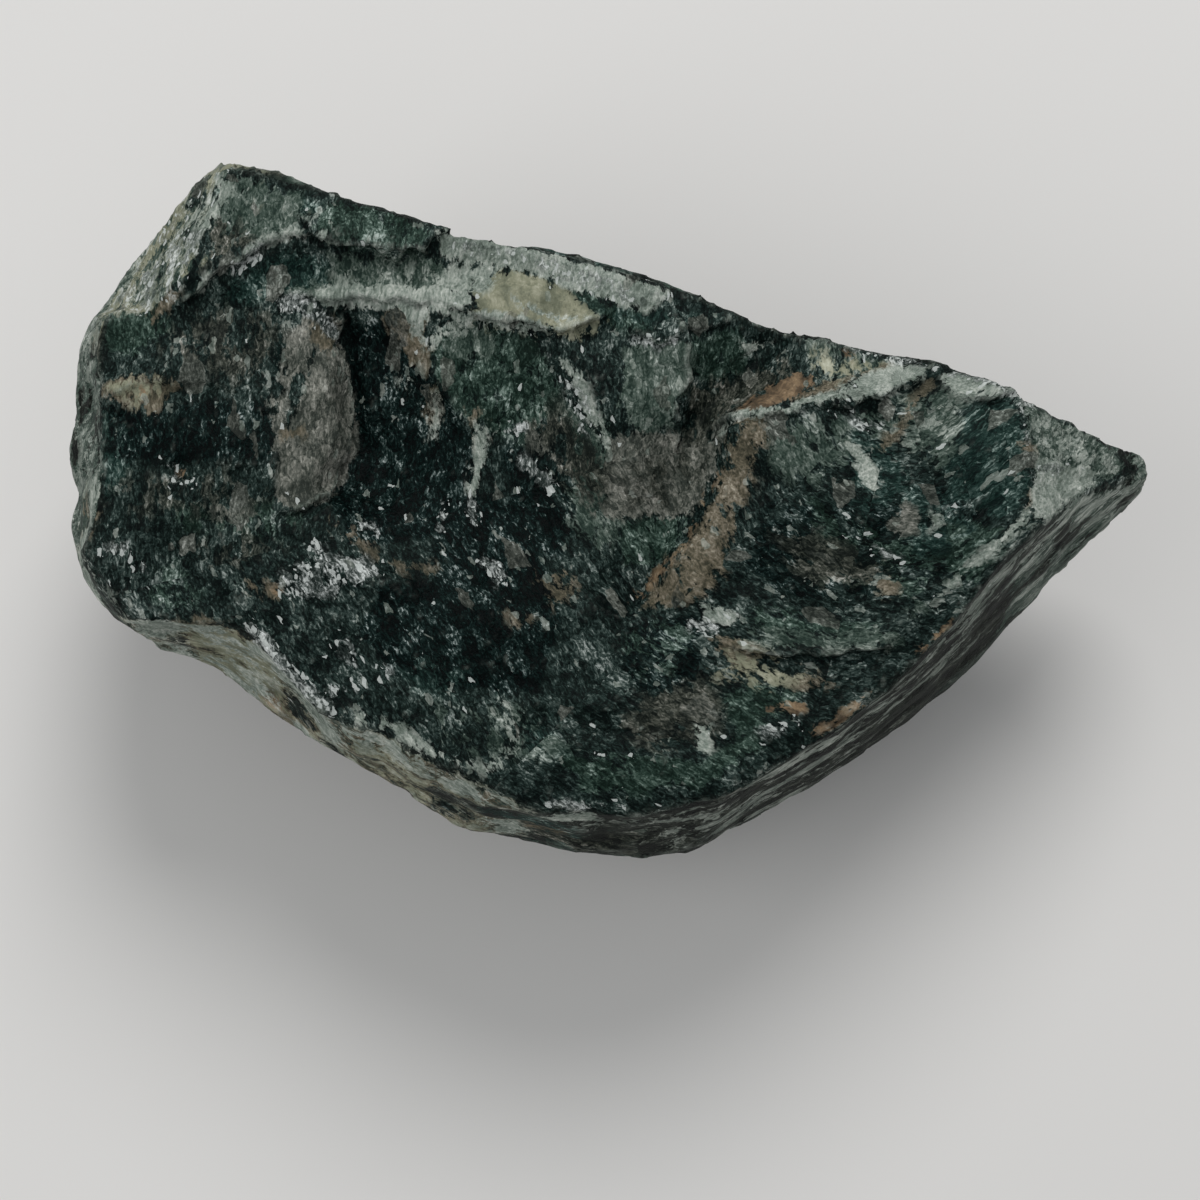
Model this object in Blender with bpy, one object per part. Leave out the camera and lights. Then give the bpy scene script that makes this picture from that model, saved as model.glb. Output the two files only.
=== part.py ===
"""A rough, broken lump of green aventurine quartz, about as long as a hand is wide.

Lengths are in millimetres while the stone is shaped, and the last step turns them to metres.
Seen from above, +X is the pointed end, +Y the straight back edge, and +Z is up. The stone rests
on the small flat spot of its underside, and its frame starts in the middle of its box, on that
plane.
"""
import math

import bmesh
import bpy
from mathutils import Vector, noise

# Driving dimensions of the finished stone
LENGTH = 100.0
DEPTH = 61.4
HEIGHT = 38.4
MILLIMETRE = 0.001
# What is this near to the floor is part of the flat spot that the stone rests on
RESTING_FLATNESS = 0.05

# How finely the shape is worked, and how many triangles the finished stone keeps
CROWN_STEP = 0.6
FLANK_STEP = 0.9
TRIANGLES = 9400

# The flanks. Each station gives the plan place of the flank at the level of the top edge, and the
# plan place and height of the flank where it is widest. They run clockwise from the back left
# corner, as seen from above.
EDGE_LEVEL = 35.0
# The flanks are made from this level, clear above the top, to this one, clear below the floor
SKY_LEVEL = 43.0
UNDER_LEVEL = -2.0
# How much of their slope the flanks keep above the edge, and how far they lean in below
SLOPE_KEPT = 0.6
UNDERCUT = 0.08
STATIONS = [
    # the little nose at the back left corner
    ((-37.6, 29.4), (-37.8, 29.9, 25)),
    ((-36.3, 30.6), (-36.6, 30.5, 25)),
    ((-33.6, 29.0), (-33.4, 29.6, 20)),
    # the long, straight back edge
    ((-27.5, 27.0), (-27.0, 28.4, 17)),
    ((-17.2, 23.7), (-16.5, 26.2, 16)),
    ((-15.5, 22.8), (-14.5, 25.0, 17)),
    ((-6.6, 21.3), (-6.5, 23.0, 18)),
    ((7.2, 17.3), (7.0, 18.4, 18)),
    ((18.2, 13.3), (18.4, 14.6, 17)),
    ((23.8, 11.7), (24.0, 12.4, 17)),
    ((34.6, 9.4), (35.2, 8.9, 18)),
    ((38.4, 7.6), (40.0, 7.4, 19)),
    # the pointed end
    ((44.6, 6.2), (46.8, 6.1, 20)),
    ((47.6, 5.6), (49.2, 5.2, 21)),
    ((47.9, 4.4), (49.9, 3.8, 21)),
    # the long flat face at the front right
    ((45.8, 2.4), (48.4, 2.0, 19)),
    ((41.3, -0.2), (43.8, -2.1, 16)),
    ((37.6, -3.9), (41.0, -5.2, 16)),
    ((34.6, -6.8), (37.3, -8.4, 16)),
    ((31.8, -9.9), (34.0, -12.2, 16)),
    ((29.5, -12.8), (29.9, -15.8, 16)),
    ((23.5, -18.7), (24.0, -20.4, 16)),
    ((19.5, -21.9), (20.0, -23.1, 17)),
    ((10.6, -27.5), (9.9, -28.7, 18)),
    # the blunt front
    ((6.8, -28.7), (7.8, -30.3, 19)),
    ((1.0, -29.1), (2.2, -30.7, 19)),
    ((-5.6, -28.8), (-6.0, -29.8, 19)),
    ((-12.4, -26.0), (-13.2, -29.1, 20)),
    ((-17.5, -23.9), (-17.2, -26.7, 20)),
    # the undercut front left, down to a chip with a glassy skin
    ((-19.3, -22.0), (-20.9, -24.2, 20)),
    ((-22.8, -21.9), (-24.0, -22.6, 20)),
    ((-27.3, -19.9), (-27.6, -20.3, 21)),
    ((-30.1, -16.2), (-30.6, -17.9, 22)),
    ((-31.5, -13.9), (-33.8, -15.2, 22)),
    ((-34.3, -12.9), (-36.0, -14.0, 23)),
    ((-36.8, -13.5), (-37.9, -13.0, 24)),
    # the lumpy left end
    ((-41.5, -12.6), (-42.0, -12.4, 25)),
    ((-44.8, -10.4), (-45.8, -9.4, 25)),
    ((-47.2, -6.6), (-48.4, -5.9, 25)),
    ((-45.6, -4.4), (-49.2, -3.6, 25)),
    ((-44.7, -2.5), (-49.3, -1.4, 25)),
    ((-45.2, 1.2), (-48.8, 0.9, 25)),
    ((-45.7, 6.1), (-50.0, 5.0, 25)),
    ((-46.4, 9.8), (-49.4, 11.2, 26)),
    ((-45.3, 14.4), (-49.6, 15.4, 27)),
    # the slanting back left side
    ((-44.9, 17.0), (-48.2, 17.6, 28)),
    ((-44.6, 20.6), (-45.4, 20.7, 28)),
    ((-40.3, 26.7), (-40.6, 26.8, 27)),
]

# The underside, broken off by flat cuts: a point on each, the way it faces and what it leaves
FLOOR_CUT = ((0.0, 0.0, 0.0), (0.0, 0.0, -1.0))
UNDERSIDE_CUTS = [
    # under the point
    ((46.0, 5.0, 15.0), (0.47, 0.08, -0.88)),
    # under the long front right face
    ((27.0, -14.0, 10.5), (0.44, -0.48, -0.76)),
    # under the blunt front
    ((-2.0, -28.0, 12.5), (-0.10, -0.62, -0.78)),
    # under the chipped front left
    ((-29.0, -14.5, 13.0), (-0.42, -0.48, -0.77)),
    # under the lumpy left end
    ((-46.5, 4.0, 15.0), (-0.62, -0.10, -0.78)),
    # under the slanting back left side
    ((-41.0, 22.0, 16.5), (-0.56, 0.42, -0.72)),
    # under the back edge
    ((-10.0, 22.5, 10.0), (0.12, 0.70, -0.71)),
    ((26.0, 11.0, 12.0), (0.34, 0.58, -0.74)),
]

# The top. It is a gently sloping face, cut down at its edges by flat breaks and crossed by folds.
# It is made as the upper face of a block, the crown, that is wider and deeper than the stone.
CROWN_MARGIN = 4.0
CROWN_FOOT = -8.0
TOP_LEVEL = 34.4
TOP_RISE_BACKWARDS = 0.055
TOP_RISE_RIGHTWARDS = 0.012

# Each break is one flat cut, or the corner between two that meet: two points of its upper edge,
# walked with the break on the left, then the height of that edge and the slope down from it
BREAKS = [
    # the wide bevel along the back left side, which ends at the left corner
    [((-38.9, 17.4), (-33.9, 28.7), 36.6, 0.95), ((-45.2, 15.2), (-39.3, 16.0), 35.6, 3.0)],
    # the face that runs down to the point
    [((35.9, 7.8), (37.1, -4.8), 34.9, 0.92)],
    # the rounded front left corner
    [((-41.6, -12.0), (-47.4, -5.8), 33.0, 2.0)],
    # the front edge dips
    [((12.0, -23.5), (-14.0, -22.0), 33.7, 0.20)],
]

FOLD_TAPER = 3.5
FOLD_SHARPNESS = 1.6
# Each fold: the line it follows, how far the line stands above the face around it, and how far
# the fold reaches on the left and on the right of the line as it is walked. A short reach is a
# small cliff, and every fold tapers away towards the ends of its line.
FOLDS = [
    # the plateau along the back left, and the dark slab that lies on it
    ([(-42.0, 16.6), (-39.0, 17.8), (-35.2, 19.2), (-31.8, 21.0), (-26.1, 21.8), (-19.1, 20.6),
      (-13.0, 19.4)], 1.9, 14.0, 4.2),
    ([(-29.2, 23.6), (-27.0, 22.4), (-24.4, 21.5), (-20.8, 21.0), (-17.2, 20.9), (-14.6, 22.4),
      (-14.0, 26.0)], 1.3, 5.0, 1.0),
    # the pale shelf below it, which widens into a lens with a sharp front edge
    ([(-31.5, 16.4), (-24.5, 17.0), (-15.6, 16.5), (-10.2, 16.8), (-3.0, 16.0)], 1.0, 2.0, 4.5),
    ([(-17.0, 15.6), (-12.9, 14.4), (-8.4, 14.0), (-4.8, 12.8), (-1.4, 14.2), (0.6, 16.4)],
     1.7, 5.5, 1.0),
    # the crushed rim behind the lens
    ([(-16.5, 21.6), (-10.2, 21.2), (-4.8, 19.5), (2.3, 16.9), (5.0, 16.2)], 0.9, 3.0, 2.5),
    # the deep hollow's steep left wall
    ([(-24.2, 17.4), (-24.9, 13.8), (-23.9, 11.0), (-24.3, 8.1), (-23.2, 4.1), (-24.8, 1.6),
      (-26.5, -2.0)], -3.2, 10.0, 1.2),
    # the edge between the hollow and the smooth slope behind it
    ([(-22.0, 15.2), (-18.4, 13.4), (-17.2, 10.8), (-15.2, 8.8), (-13.6, 6.2), (-10.0, 4.4)],
     0.9, 8.0, 1.8),
    # the frosted shoulder right of the hollow
    ([(-5.6, 13.8), (-2.1, 9.0), (0.5, 6.2), (2.3, 0.6), (2.6, -2.0)], 1.3, 5.0, 6.0),
    # the small block that ends in a cliff on its right
    ([(5.6, 3.6), (6.2, 6.5), (7.0, 9.3), (7.2, 11.6), (6.7, 15.6)], 1.9, 6.0, 1.0),
    ([(1.0, 13.6), (3.7, 12.5), (6.9, 13.7), (14.0, 15.0)], 0.8, 1.8, 1.2),
    # the valley from the back edge to the middle
    ([(17.0, 15.6), (8.4, 7.0), (6.8, 3.7), (4.5, -2.8), (2.7, -8.3), (1.2, -12.6)], -3.3, 4.6, 8.0),
    # the long ridge along the right block, with a stained face behind it
    ([(7.8, 3.0), (11.0, 5.4), (16.3, 6.7), (22.4, 7.6), (25.0, 8.6)], 1.6, 3.6, 9.0),
    # the tan shoulder on the valley's right side
    ([(12.4, 8.0), (11.6, 5.1), (10.6, 0.0), (8.8, -4.6), (5.4, -9.3), (4.0, -11.5)],
     1.2, 9.0, 3.2),
    # a pale slab on the ridge, the gully under it, and the narrow rib beside that
    ([(19.0, 7.9), (22.5, 6.6), (25.6, 8.1), (29.0, 10.2)], 1.0, 4.0, 1.0),
    ([(21.6, 8.2), (22.9, 6.0), (24.6, 4.2), (25.6, 2.0)], -1.3, 1.6, 1.6),
    ([(28.2, 9.4), (26.4, 6.8), (25.2, 4.6), (23.4, 1.6)], 0.8, 2.2, 1.6),
    # the small oval scar at the back right
    ([(28.0, 10.0), (28.8, 8.0), (30.4, 6.9), (32.0, 7.1), (37.0, 8.6)], 0.8, 3.0, 1.0),
    # a low step near the front right, and another near the front edge
    ([(10.0, -14.9), (16.9, -15.6), (20.0, -15.7), (23.0, -15.0), (27.0, -12.6)], 1.1, 4.5, 1.0),
    ([(-11.0, -21.4), (-5.8, -20.0), (-1.2, -20.4), (6.0, -21.2)], 0.7, 3.0, 1.2),
    # the stained step near the left end
    ([(-48.5, 6.6), (-44.8, 7.4), (-41.9, 8.8), (-37.0, 9.4), (-34.5, 8.6)], 1.0, 5.0, 1.8),
    # the crushed rib near the front left
    ([(-35.0, -11.6), (-29.0, -8.6), (-24.0, -7.8), (-16.0, -10.4)], 0.9, 2.2, 3.0),
]

SWELL_ROUNDNESS = 1.5
# Each swell: its middle, its reach along X and Y, and its height. Below zero it is a hollow.
SWELLS = [
    # the broad basin in the middle, and the deep hollow in its back left
    ((-11.0, 0.0), (19.0, 13.0), -2.6),
    ((-19.0, 6.0), (8.0, 12.0), -1.4),
    # the right block
    ((25.0, -2.0), (15.0, 13.0), 1.5),
    # the left end
    ((-37.0, 3.0), (9.0, 14.0), 0.8),
    ((-38.5, -8.5), (6.0, 5.0), -0.9),
    # two little pits
    ((-38.2, 0.9), (1.8, 1.6), -1.0),
    ((-30.9, -10.0), (1.7, 1.5), -1.0),
]

# Shallow shell-shaped scars in the flanks and the underside: a point on the flank, the way it
# faces there, how deep the scar is and how far across it is
SCARS = [
    ((-36.0, -14.5, 27.0), (-0.30, -0.95, 0.10), 1.6, 15.0),
    ((-22.0, -21.0, 13.0), (-0.45, -0.75, -0.48), 1.6, 20.0),
    ((-8.0, -29.5, 24.0), (-0.20, -0.97, 0.05), 0.8, 15.0),
    ((2.0, -27.0, 9.0), (0.05, -0.85, -0.52), 1.6, 24.0),
    ((21.0, -19.0, 9.0), (0.50, -0.65, -0.55), 1.3, 20.0),
    ((44.0, 1.5, 12.0), (0.60, -0.50, -0.60), 1.2, 16.0),
    ((41.0, 8.0, 24.0), (0.25, 0.96, 0.05), 1.0, 16.0),
    ((22.0, 13.0, 22.0), (0.25, 0.96, 0.05), 1.4, 24.0),
    ((20.0, 10.0, 8.0), (0.30, 0.75, -0.60), 1.5, 20.0),
    ((-2.0, 21.5, 14.0), (0.15, 0.98, -0.10), 1.8, 28.0),
    ((-21.0, 27.0, 24.0), (0.30, 0.95, 0.0), 1.4, 18.0),
    ((-30.0, 24.0, 8.0), (-0.20, 0.75, -0.60), 1.5, 22.0),
    ((-46.0, 18.0, 22.0), (-0.85, 0.50, -0.15), 1.0, 14.0),
    ((-48.5, 6.0, 17.0), (-0.96, 0.0, -0.28), 1.3, 17.0),
    ((-44.0, -7.0, 15.0), (-0.85, -0.35, -0.50), 1.2, 16.0),
    ((-36.0, 2.0, 5.0), (-0.60, -0.10, -0.80), 1.4, 20.0),
]

# The uneven grain of a broken face: how wide its lumps are and how far they stand out. The
# noise gives less weight to each finer layer of lumps.
LUMP_LAYERS = 4
LUMP_SHRINK = 2.1
LUMP_WEIGHT = 0.9
TOP_LUMP = 5.5
TOP_LUMP_HEIGHT = 0.42
FLANK_LUMP = 11.0
FLANK_LUMP_HEIGHT = 0.95
# The long front right face came off flat, so its lumps are lower
FLAT_FACE_WAY = Vector((0.70, -0.70, -0.10))
FLAT_FACE_SPREAD = 0.86
FLAT_FACE_SHARE = 0.25
# The flanks' lumps die out over this height above the floor
FLOOR_CALM = 3.0

STONE_COLOUR = (0.022, 0.045, 0.038, 1.0)
STONE_ROUGHNESS = 0.55


def clear_scene():
    for thing in list(bpy.data.objects):
        bpy.data.objects.remove(thing, do_unlink=True)


def beside(line, x, y):
    """Where a plan point lies beside a line of points.

    Gives its distance from the line, whether it is on the left of the line, and how far along the
    line it is from the nearer end.
    """
    lengths = [math.dist(start, end) for start, end in zip(line, line[1:])]
    nearest = (math.inf, True, 0.0)
    walked = 0.0
    for (ax, ay), (bx, by), length in zip(line, line[1:], lengths):
        run_x, run_y = (bx - ax) / length, (by - ay) / length
        along = min(max((x - ax) * run_x + (y - ay) * run_y, 0.0), length)
        off_x, off_y = x - ax - along * run_x, y - ay - along * run_y
        distance = math.hypot(off_x, off_y)
        if distance < nearest[0]:
            from_end = min(walked + along, sum(lengths) - walked - along)
            nearest = (distance, run_x * off_y - run_y * off_x >= 0.0, from_end)
        walked += length
    return nearest


def fold_height(line, height, left_reach, right_reach, x, y):
    distance, on_left, from_end = beside(line, x, y)
    reach = left_reach if on_left else right_reach
    taper = min(1.0, from_end / FOLD_TAPER)
    return height * taper * max(0.0, 1.0 - distance / reach) ** FOLD_SHARPNESS


def swell_height(middle, reach, height, x, y):
    spread = ((x - middle[0]) / reach[0]) ** 2 + ((y - middle[1]) / reach[1]) ** 2
    return height * max(0.0, 1.0 - spread) ** SWELL_ROUNDNESS


def cut_height(start, end, level, slope, x, y):
    run_x, run_y = end[0] - start[0], end[1] - start[1]
    outwards = (run_x * (y - start[1]) - run_y * (x - start[0])) / math.hypot(run_x, run_y)
    return level - slope * outwards


def break_height(cuts, x, y):
    return max(cut_height(*cut, x, y) for cut in cuts)


def lumps(place):
    return noise.fractal(place, LUMP_WEIGHT, LUMP_SHRINK, LUMP_LAYERS)


def top_height(x, y):
    """Height of the broken top above the floor at a plan point."""
    height = TOP_LEVEL + TOP_RISE_BACKWARDS * y + TOP_RISE_RIGHTWARDS * x
    height += sum(fold_height(*fold, x, y) for fold in FOLDS)
    height += sum(swell_height(*swell, x, y) for swell in SWELLS)
    height = min([height] + [break_height(cuts, x, y) for cuts in BREAKS])
    return height + TOP_LUMP_HEIGHT * lumps(Vector((x, y, 0.0)) / TOP_LUMP)


def flank_rings():
    """Four loops of points, from above the top face down to below the floor."""
    sky, edge, belly, under = [], [], [], []
    for (edge_x, edge_y), (belly_x, belly_y, belly_z) in STATIONS:
        on_edge = Vector((edge_x, edge_y, EDGE_LEVEL))
        on_belly = Vector((belly_x, belly_y, belly_z))
        rise = (SKY_LEVEL - EDGE_LEVEL) / (EDGE_LEVEL - belly_z)
        sky.append(on_edge + (on_edge - on_belly) * rise * SLOPE_KEPT)
        sky[-1].z = SKY_LEVEL
        edge.append(on_edge)
        belly.append(on_belly)
        drop = belly_z - UNDER_LEVEL
        inwards = Vector((-belly_x, -belly_y, 0.0)).normalized()
        under.append(on_belly + inwards * UNDERCUT * drop)
        under[-1].z = UNDER_LEVEL
    return [sky, edge, belly, under]


def block_from_rings(rings):
    """A closed block lofted through loops of the same number of points."""
    block = bmesh.new()
    loops = []
    for ring in rings:
        points = [block.verts.new(point) for point in ring]
        loops.append([block.edges.new((a, b)) for a, b in zip(points, points[1:] + points[:1])])
    for upper, lower in zip(loops, loops[1:]):
        bmesh.ops.bridge_loops(block, edges=upper + lower)
    for loop in (loops[0], loops[-1]):
        bmesh.ops.contextual_create(block, geom=loop)
    bmesh.ops.triangulate(block, faces=block.faces)
    bmesh.ops.recalc_face_normals(block, faces=block.faces)
    return block


def cut_off(block, point, facing):
    """Break the block off flat at a plane, and close the cut."""
    everything = block.verts[:] + block.edges[:] + block.faces[:]
    cut = bmesh.ops.bisect_plane(block, geom=everything, plane_co=point, plane_no=facing,
                                 clear_outer=True)
    rim = [item for item in cut["geom_cut"] if isinstance(item, bmesh.types.BMEdge)]
    bmesh.ops.holes_fill(block, edges=rim)


def object_from(block, name):
    mesh = bpy.data.meshes.new(name)
    block.to_mesh(mesh)
    block.free()
    thing = bpy.data.objects.new(name, mesh)
    bpy.context.scene.collection.objects.link(thing)
    return thing


def settle(thing):
    """Apply the modifiers that are on an object."""
    depsgraph = bpy.context.evaluated_depsgraph_get()
    settled = bpy.data.meshes.new_from_object(thing.evaluated_get(depsgraph))
    thing.modifiers.clear()
    thing.data = settled


def put_in_order(thing):
    """Sort a mesh's points and faces by place, since a Boolean gives them in any order."""
    mesh = thing.data
    old_numbers = sorted(range(len(mesh.vertices)), key=lambda old: mesh.vertices[old].co[:])
    new_numbers = {old: new for new, old in enumerate(old_numbers)}
    faces = []
    for face in mesh.polygons:
        corners = [new_numbers[old] for old in face.vertices]
        first = corners.index(min(corners))
        faces.append(corners[first:] + corners[:first])
    thing.data = bpy.data.meshes.new(mesh.name)
    thing.data.from_pydata([mesh.vertices[old].co for old in old_numbers], [], sorted(faces))


def make_flanks():
    """The stone's sides and underside, still too tall and with an even top."""
    block = block_from_rings(flank_rings())
    for point, facing in UNDERSIDE_CUTS + [FLOOR_CUT]:
        cut_off(block, point, facing)
    flanks = object_from(block, "flanks")
    remesh = flanks.modifiers.new("even mesh", "REMESH")
    remesh.mode = "VOXEL"
    remesh.voxel_size = FLANK_STEP
    settle(flanks)
    roughen_flanks(flanks.data)
    for scar in SCARS:
        strike(flanks.data, *scar)
    return flanks


def strike(mesh, point, facing, depth, width):
    """Press the mesh back to a wide ball's surface, which leaves a shallow round scar."""
    radius = (0.25 * width ** 2 + depth ** 2) / (2.0 * depth)
    middle = Vector(point) + Vector(facing).normalized() * (radius - depth)
    for vertex in mesh.vertices:
        from_middle = vertex.co - middle
        if from_middle.length < radius and vertex.co.z > FLANK_STEP:
            vertex.co = middle + from_middle.normalized() * radius


def roughen_flanks(mesh):
    """Move the flanks in and out in low lumps, and leave the resting spot flat."""
    moves = []
    for vertex in mesh.vertices:
        place, way = vertex.co, vertex.normal
        share = FLAT_FACE_SHARE if way.dot(FLAT_FACE_WAY) > FLAT_FACE_SPREAD else 1.0
        clear_of_floor = min(max(place.z / FLOOR_CALM - 0.1, 0.0), 1.0)
        height = FLANK_LUMP_HEIGHT * share * clear_of_floor * lumps(place / FLANK_LUMP)
        moves.append(way * height)
    for vertex, move in zip(mesh.vertices, moves):
        vertex.co += move


def make_crown():
    """A block whose upper face is the stone's broken top, wider than the stone all round."""
    half = 0.5 * LENGTH + CROWN_MARGIN
    steps = round(2.0 * half / CROWN_STEP)
    block = bmesh.new()
    bmesh.ops.create_grid(block, x_segments=steps, y_segments=steps, size=half)
    too_far = [point for point in block.verts if abs(point.co.y) > 0.5 * DEPTH + CROWN_MARGIN]
    bmesh.ops.delete(block, geom=too_far, context="VERTS")
    below = bmesh.ops.extrude_face_region(block, geom=block.faces[:])["geom"]
    lower = {item for item in below if isinstance(item, bmesh.types.BMVert)}
    for point in block.verts:
        point.co.z = CROWN_FOOT if point in lower else top_height(point.co.x, point.co.y)
    bmesh.ops.recalc_face_normals(block, faces=block.faces)
    return object_from(block, "crown")


def make_stone(flanks, crown):
    """What the flanks and the crown have in common, with fewer triangles where it is flat."""
    stone = flanks
    stone.name = "rough_stone"
    shared = stone.modifiers.new("top face", "BOOLEAN")
    shared.operation = "INTERSECT"
    shared.solver = "EXACT"
    shared.object = crown
    settle(stone)
    put_in_order(stone)
    count = sum(len(face.vertices) - 2 for face in stone.data.polygons)
    fewer = stone.modifiers.new("fewer triangles", "DECIMATE")
    fewer.ratio = TRIANGLES / count
    fewer.use_collapse_triangulate = True
    settle(stone)
    bpy.data.objects.remove(crown, do_unlink=True)
    return stone


def bring_to_size(stone):
    """Stretch the stone to its driving dimensions, in metres, standing on the floor."""
    places = [vertex.co for vertex in stone.data.vertices]
    lowest = Vector([min(place[axis] for place in places) for axis in range(3)])
    highest = Vector([max(place[axis] for place in places) for axis in range(3)])
    start = Vector((0.5 * (lowest.x + highest.x), 0.5 * (lowest.y + highest.y), lowest.z))
    for vertex in stone.data.vertices:
        for axis, size in enumerate((LENGTH, DEPTH, HEIGHT)):
            share = (vertex.co[axis] - start[axis]) / (highest[axis] - lowest[axis])
            vertex.co[axis] = share * size * MILLIMETRE
        if vertex.co.z < RESTING_FLATNESS * MILLIMETRE:
            vertex.co.z = 0.0


def dark_green_quartz():
    material = bpy.data.materials.new("green aventurine")
    material.use_nodes = True
    shader = material.node_tree.nodes["Principled BSDF"]
    shader.inputs["Base Color"].default_value = STONE_COLOUR
    shader.inputs["Roughness"].default_value = STONE_ROUGHNESS
    return material


clear_scene()
rough_stone = make_stone(make_flanks(), make_crown())
bring_to_size(rough_stone)
rough_stone.data.materials.clear()
rough_stone.data.materials.append(dark_green_quartz())
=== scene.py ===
"""The finish of a rough, broken lump of green aventurine quartz that lies on a pale floor.

Lengths are in millimetres while the stone is worked, and in metres for the floor, the light and
the camera. Seen from above, +X is the pointed end, +Y the straight back edge, and +Z is up.
"""
import math

import bmesh
import bpy
import numpy as np
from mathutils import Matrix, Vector, noise


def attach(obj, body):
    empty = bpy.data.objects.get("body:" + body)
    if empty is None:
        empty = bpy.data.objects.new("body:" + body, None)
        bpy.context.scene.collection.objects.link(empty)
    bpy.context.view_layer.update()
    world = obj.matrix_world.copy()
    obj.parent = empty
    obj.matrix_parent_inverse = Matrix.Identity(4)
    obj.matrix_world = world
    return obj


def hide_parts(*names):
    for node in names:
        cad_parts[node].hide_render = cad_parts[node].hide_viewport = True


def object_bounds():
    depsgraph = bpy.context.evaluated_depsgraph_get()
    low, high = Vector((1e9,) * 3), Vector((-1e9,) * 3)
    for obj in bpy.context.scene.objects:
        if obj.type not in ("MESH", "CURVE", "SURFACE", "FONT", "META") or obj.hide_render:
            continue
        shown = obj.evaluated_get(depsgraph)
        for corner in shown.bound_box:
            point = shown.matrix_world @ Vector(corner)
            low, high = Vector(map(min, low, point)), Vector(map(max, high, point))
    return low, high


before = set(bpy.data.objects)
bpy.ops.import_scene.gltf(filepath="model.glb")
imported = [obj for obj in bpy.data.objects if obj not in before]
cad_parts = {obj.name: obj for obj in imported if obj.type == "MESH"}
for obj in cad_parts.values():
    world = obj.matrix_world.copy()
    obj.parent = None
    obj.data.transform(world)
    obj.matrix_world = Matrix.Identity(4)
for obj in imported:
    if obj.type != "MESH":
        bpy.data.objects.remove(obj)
cad_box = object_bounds()

# The stone's body. It is one lump that was struck off a bigger block, so all of it is broken
# surface. A copy of the solid is given an even skin, with finer faces on top, where the relief of
# the break is finest.
MILLIMETRE = 0.001
SKIN_STEP = 0.60
SEAM = 0.01
# A face is on top where it looks up at least this much, above this height
TOP_FACING = 0.30
TOP_HEIGHT = 22.0


def mesh_of(block, name):
    """The finished work on a mesh, under its own name."""
    mesh = bpy.data.meshes.new(name)
    block.to_mesh(mesh)
    block.free()
    return mesh


block = bmesh.new()
block.from_mesh(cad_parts["rough_stone"].data)
bmesh.ops.remove_doubles(block, verts=block.verts, dist=SEAM * MILLIMETRE)
bmesh.ops.scale(block, vec=(1.0 / MILLIMETRE,) * 3, verts=block.verts)
stone = bpy.data.objects.new("broken_stone", mesh_of(block, "solid"))
bpy.context.scene.collection.objects.link(stone)
even_skin = stone.modifiers.new("even skin", "REMESH")
even_skin.mode = "VOXEL"
even_skin.voxel_size = SKIN_STEP
even = bpy.data.meshes.new_from_object(stone.evaluated_get(bpy.context.evaluated_depsgraph_get()))
stone.modifiers.clear()

block = bmesh.new()
block.from_mesh(even)
top_faces = [face for face in block.faces
             if face.normal.z > TOP_FACING and face.verts[0].co.z > TOP_HEIGHT]
top_edges = list({edge for face in top_faces for edge in face.edges})
bmesh.ops.subdivide_edges(block, edges=top_edges, cuts=1, use_grid_fill=True)
many_sided = [face for face in block.faces if len(face.verts) > 4]
bmesh.ops.triangulate(block, faces=many_sided)
stone.data = mesh_of(block, "broken stone")
skin = stone.data

places = np.empty(len(skin.vertices) * 3)
skin.vertices.foreach_get("co", places)
places = places.reshape(-1, 3)
pairs = np.empty(len(skin.edges) * 2, dtype=int)
skin.edges.foreach_get("vertices", pairs)
pairs = pairs.reshape(-1, 2)
neighbours = np.bincount(pairs.ravel(), minlength=len(places))


def spread(values, rounds):
    """Average values over the skin with those of the neighbouring points."""
    for _ in range(rounds):
        total = np.zeros_like(values)
        np.add.at(total, pairs[:, 0], values[pairs[:, 1]])
        np.add.at(total, pairs[:, 1], values[pairs[:, 0]])
        count = neighbours if values.ndim == 1 else neighbours[:, None]
        values = 0.5 * values + 0.5 * total / count
    return values


def facing():
    """The way that the skin looks at each of its points."""
    ways = np.empty(len(skin.vertices) * 3)
    skin.vertices.foreach_get("normal", ways)
    return ways.reshape(-1, 3)


def smooth_step(values, low, high):
    """From 0 at the low value to 1 at the high one, with soft ends."""
    step = np.clip((values - low) / (high - low), 0.0, 1.0)
    return step * step * (3.0 - 2.0 * step)


# The break. Quartz rock breaks in shell-shaped flakes and, where it is full of mica, along thin
# leaves. The leaves curve round one point near the back edge, so the little steps, the flecks and
# the streaks on top all follow arcs around it.
LEAF_CENTRE = np.array((25.5, 9.0))
LEAF_RADIUS = 25.0
# The edge of the top, walked clockwise from the back left corner
RIM = [
    (-37.6, 29.4), (-33.6, 29.0), (-27.5, 27.0), (-17.2, 23.7), (-6.6, 21.3), (7.2, 17.3),
    (18.2, 13.3), (34.6, 9.4), (44.6, 6.2), (47.9, 4.4), (45.8, 2.4), (41.3, -0.2), (34.6, -6.8),
    (29.5, -12.8), (19.5, -21.9), (10.6, -27.5), (1.0, -29.1), (-5.6, -28.8), (-12.4, -26.0),
    (-19.3, -22.0), (-27.3, -19.9), (-30.1, -16.2), (-34.3, -12.9), (-41.5, -12.6),
    (-47.2, -6.6), (-44.7, -2.5), (-45.7, 6.1), (-44.9, 17.0), (-40.3, 26.7),
]


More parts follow.
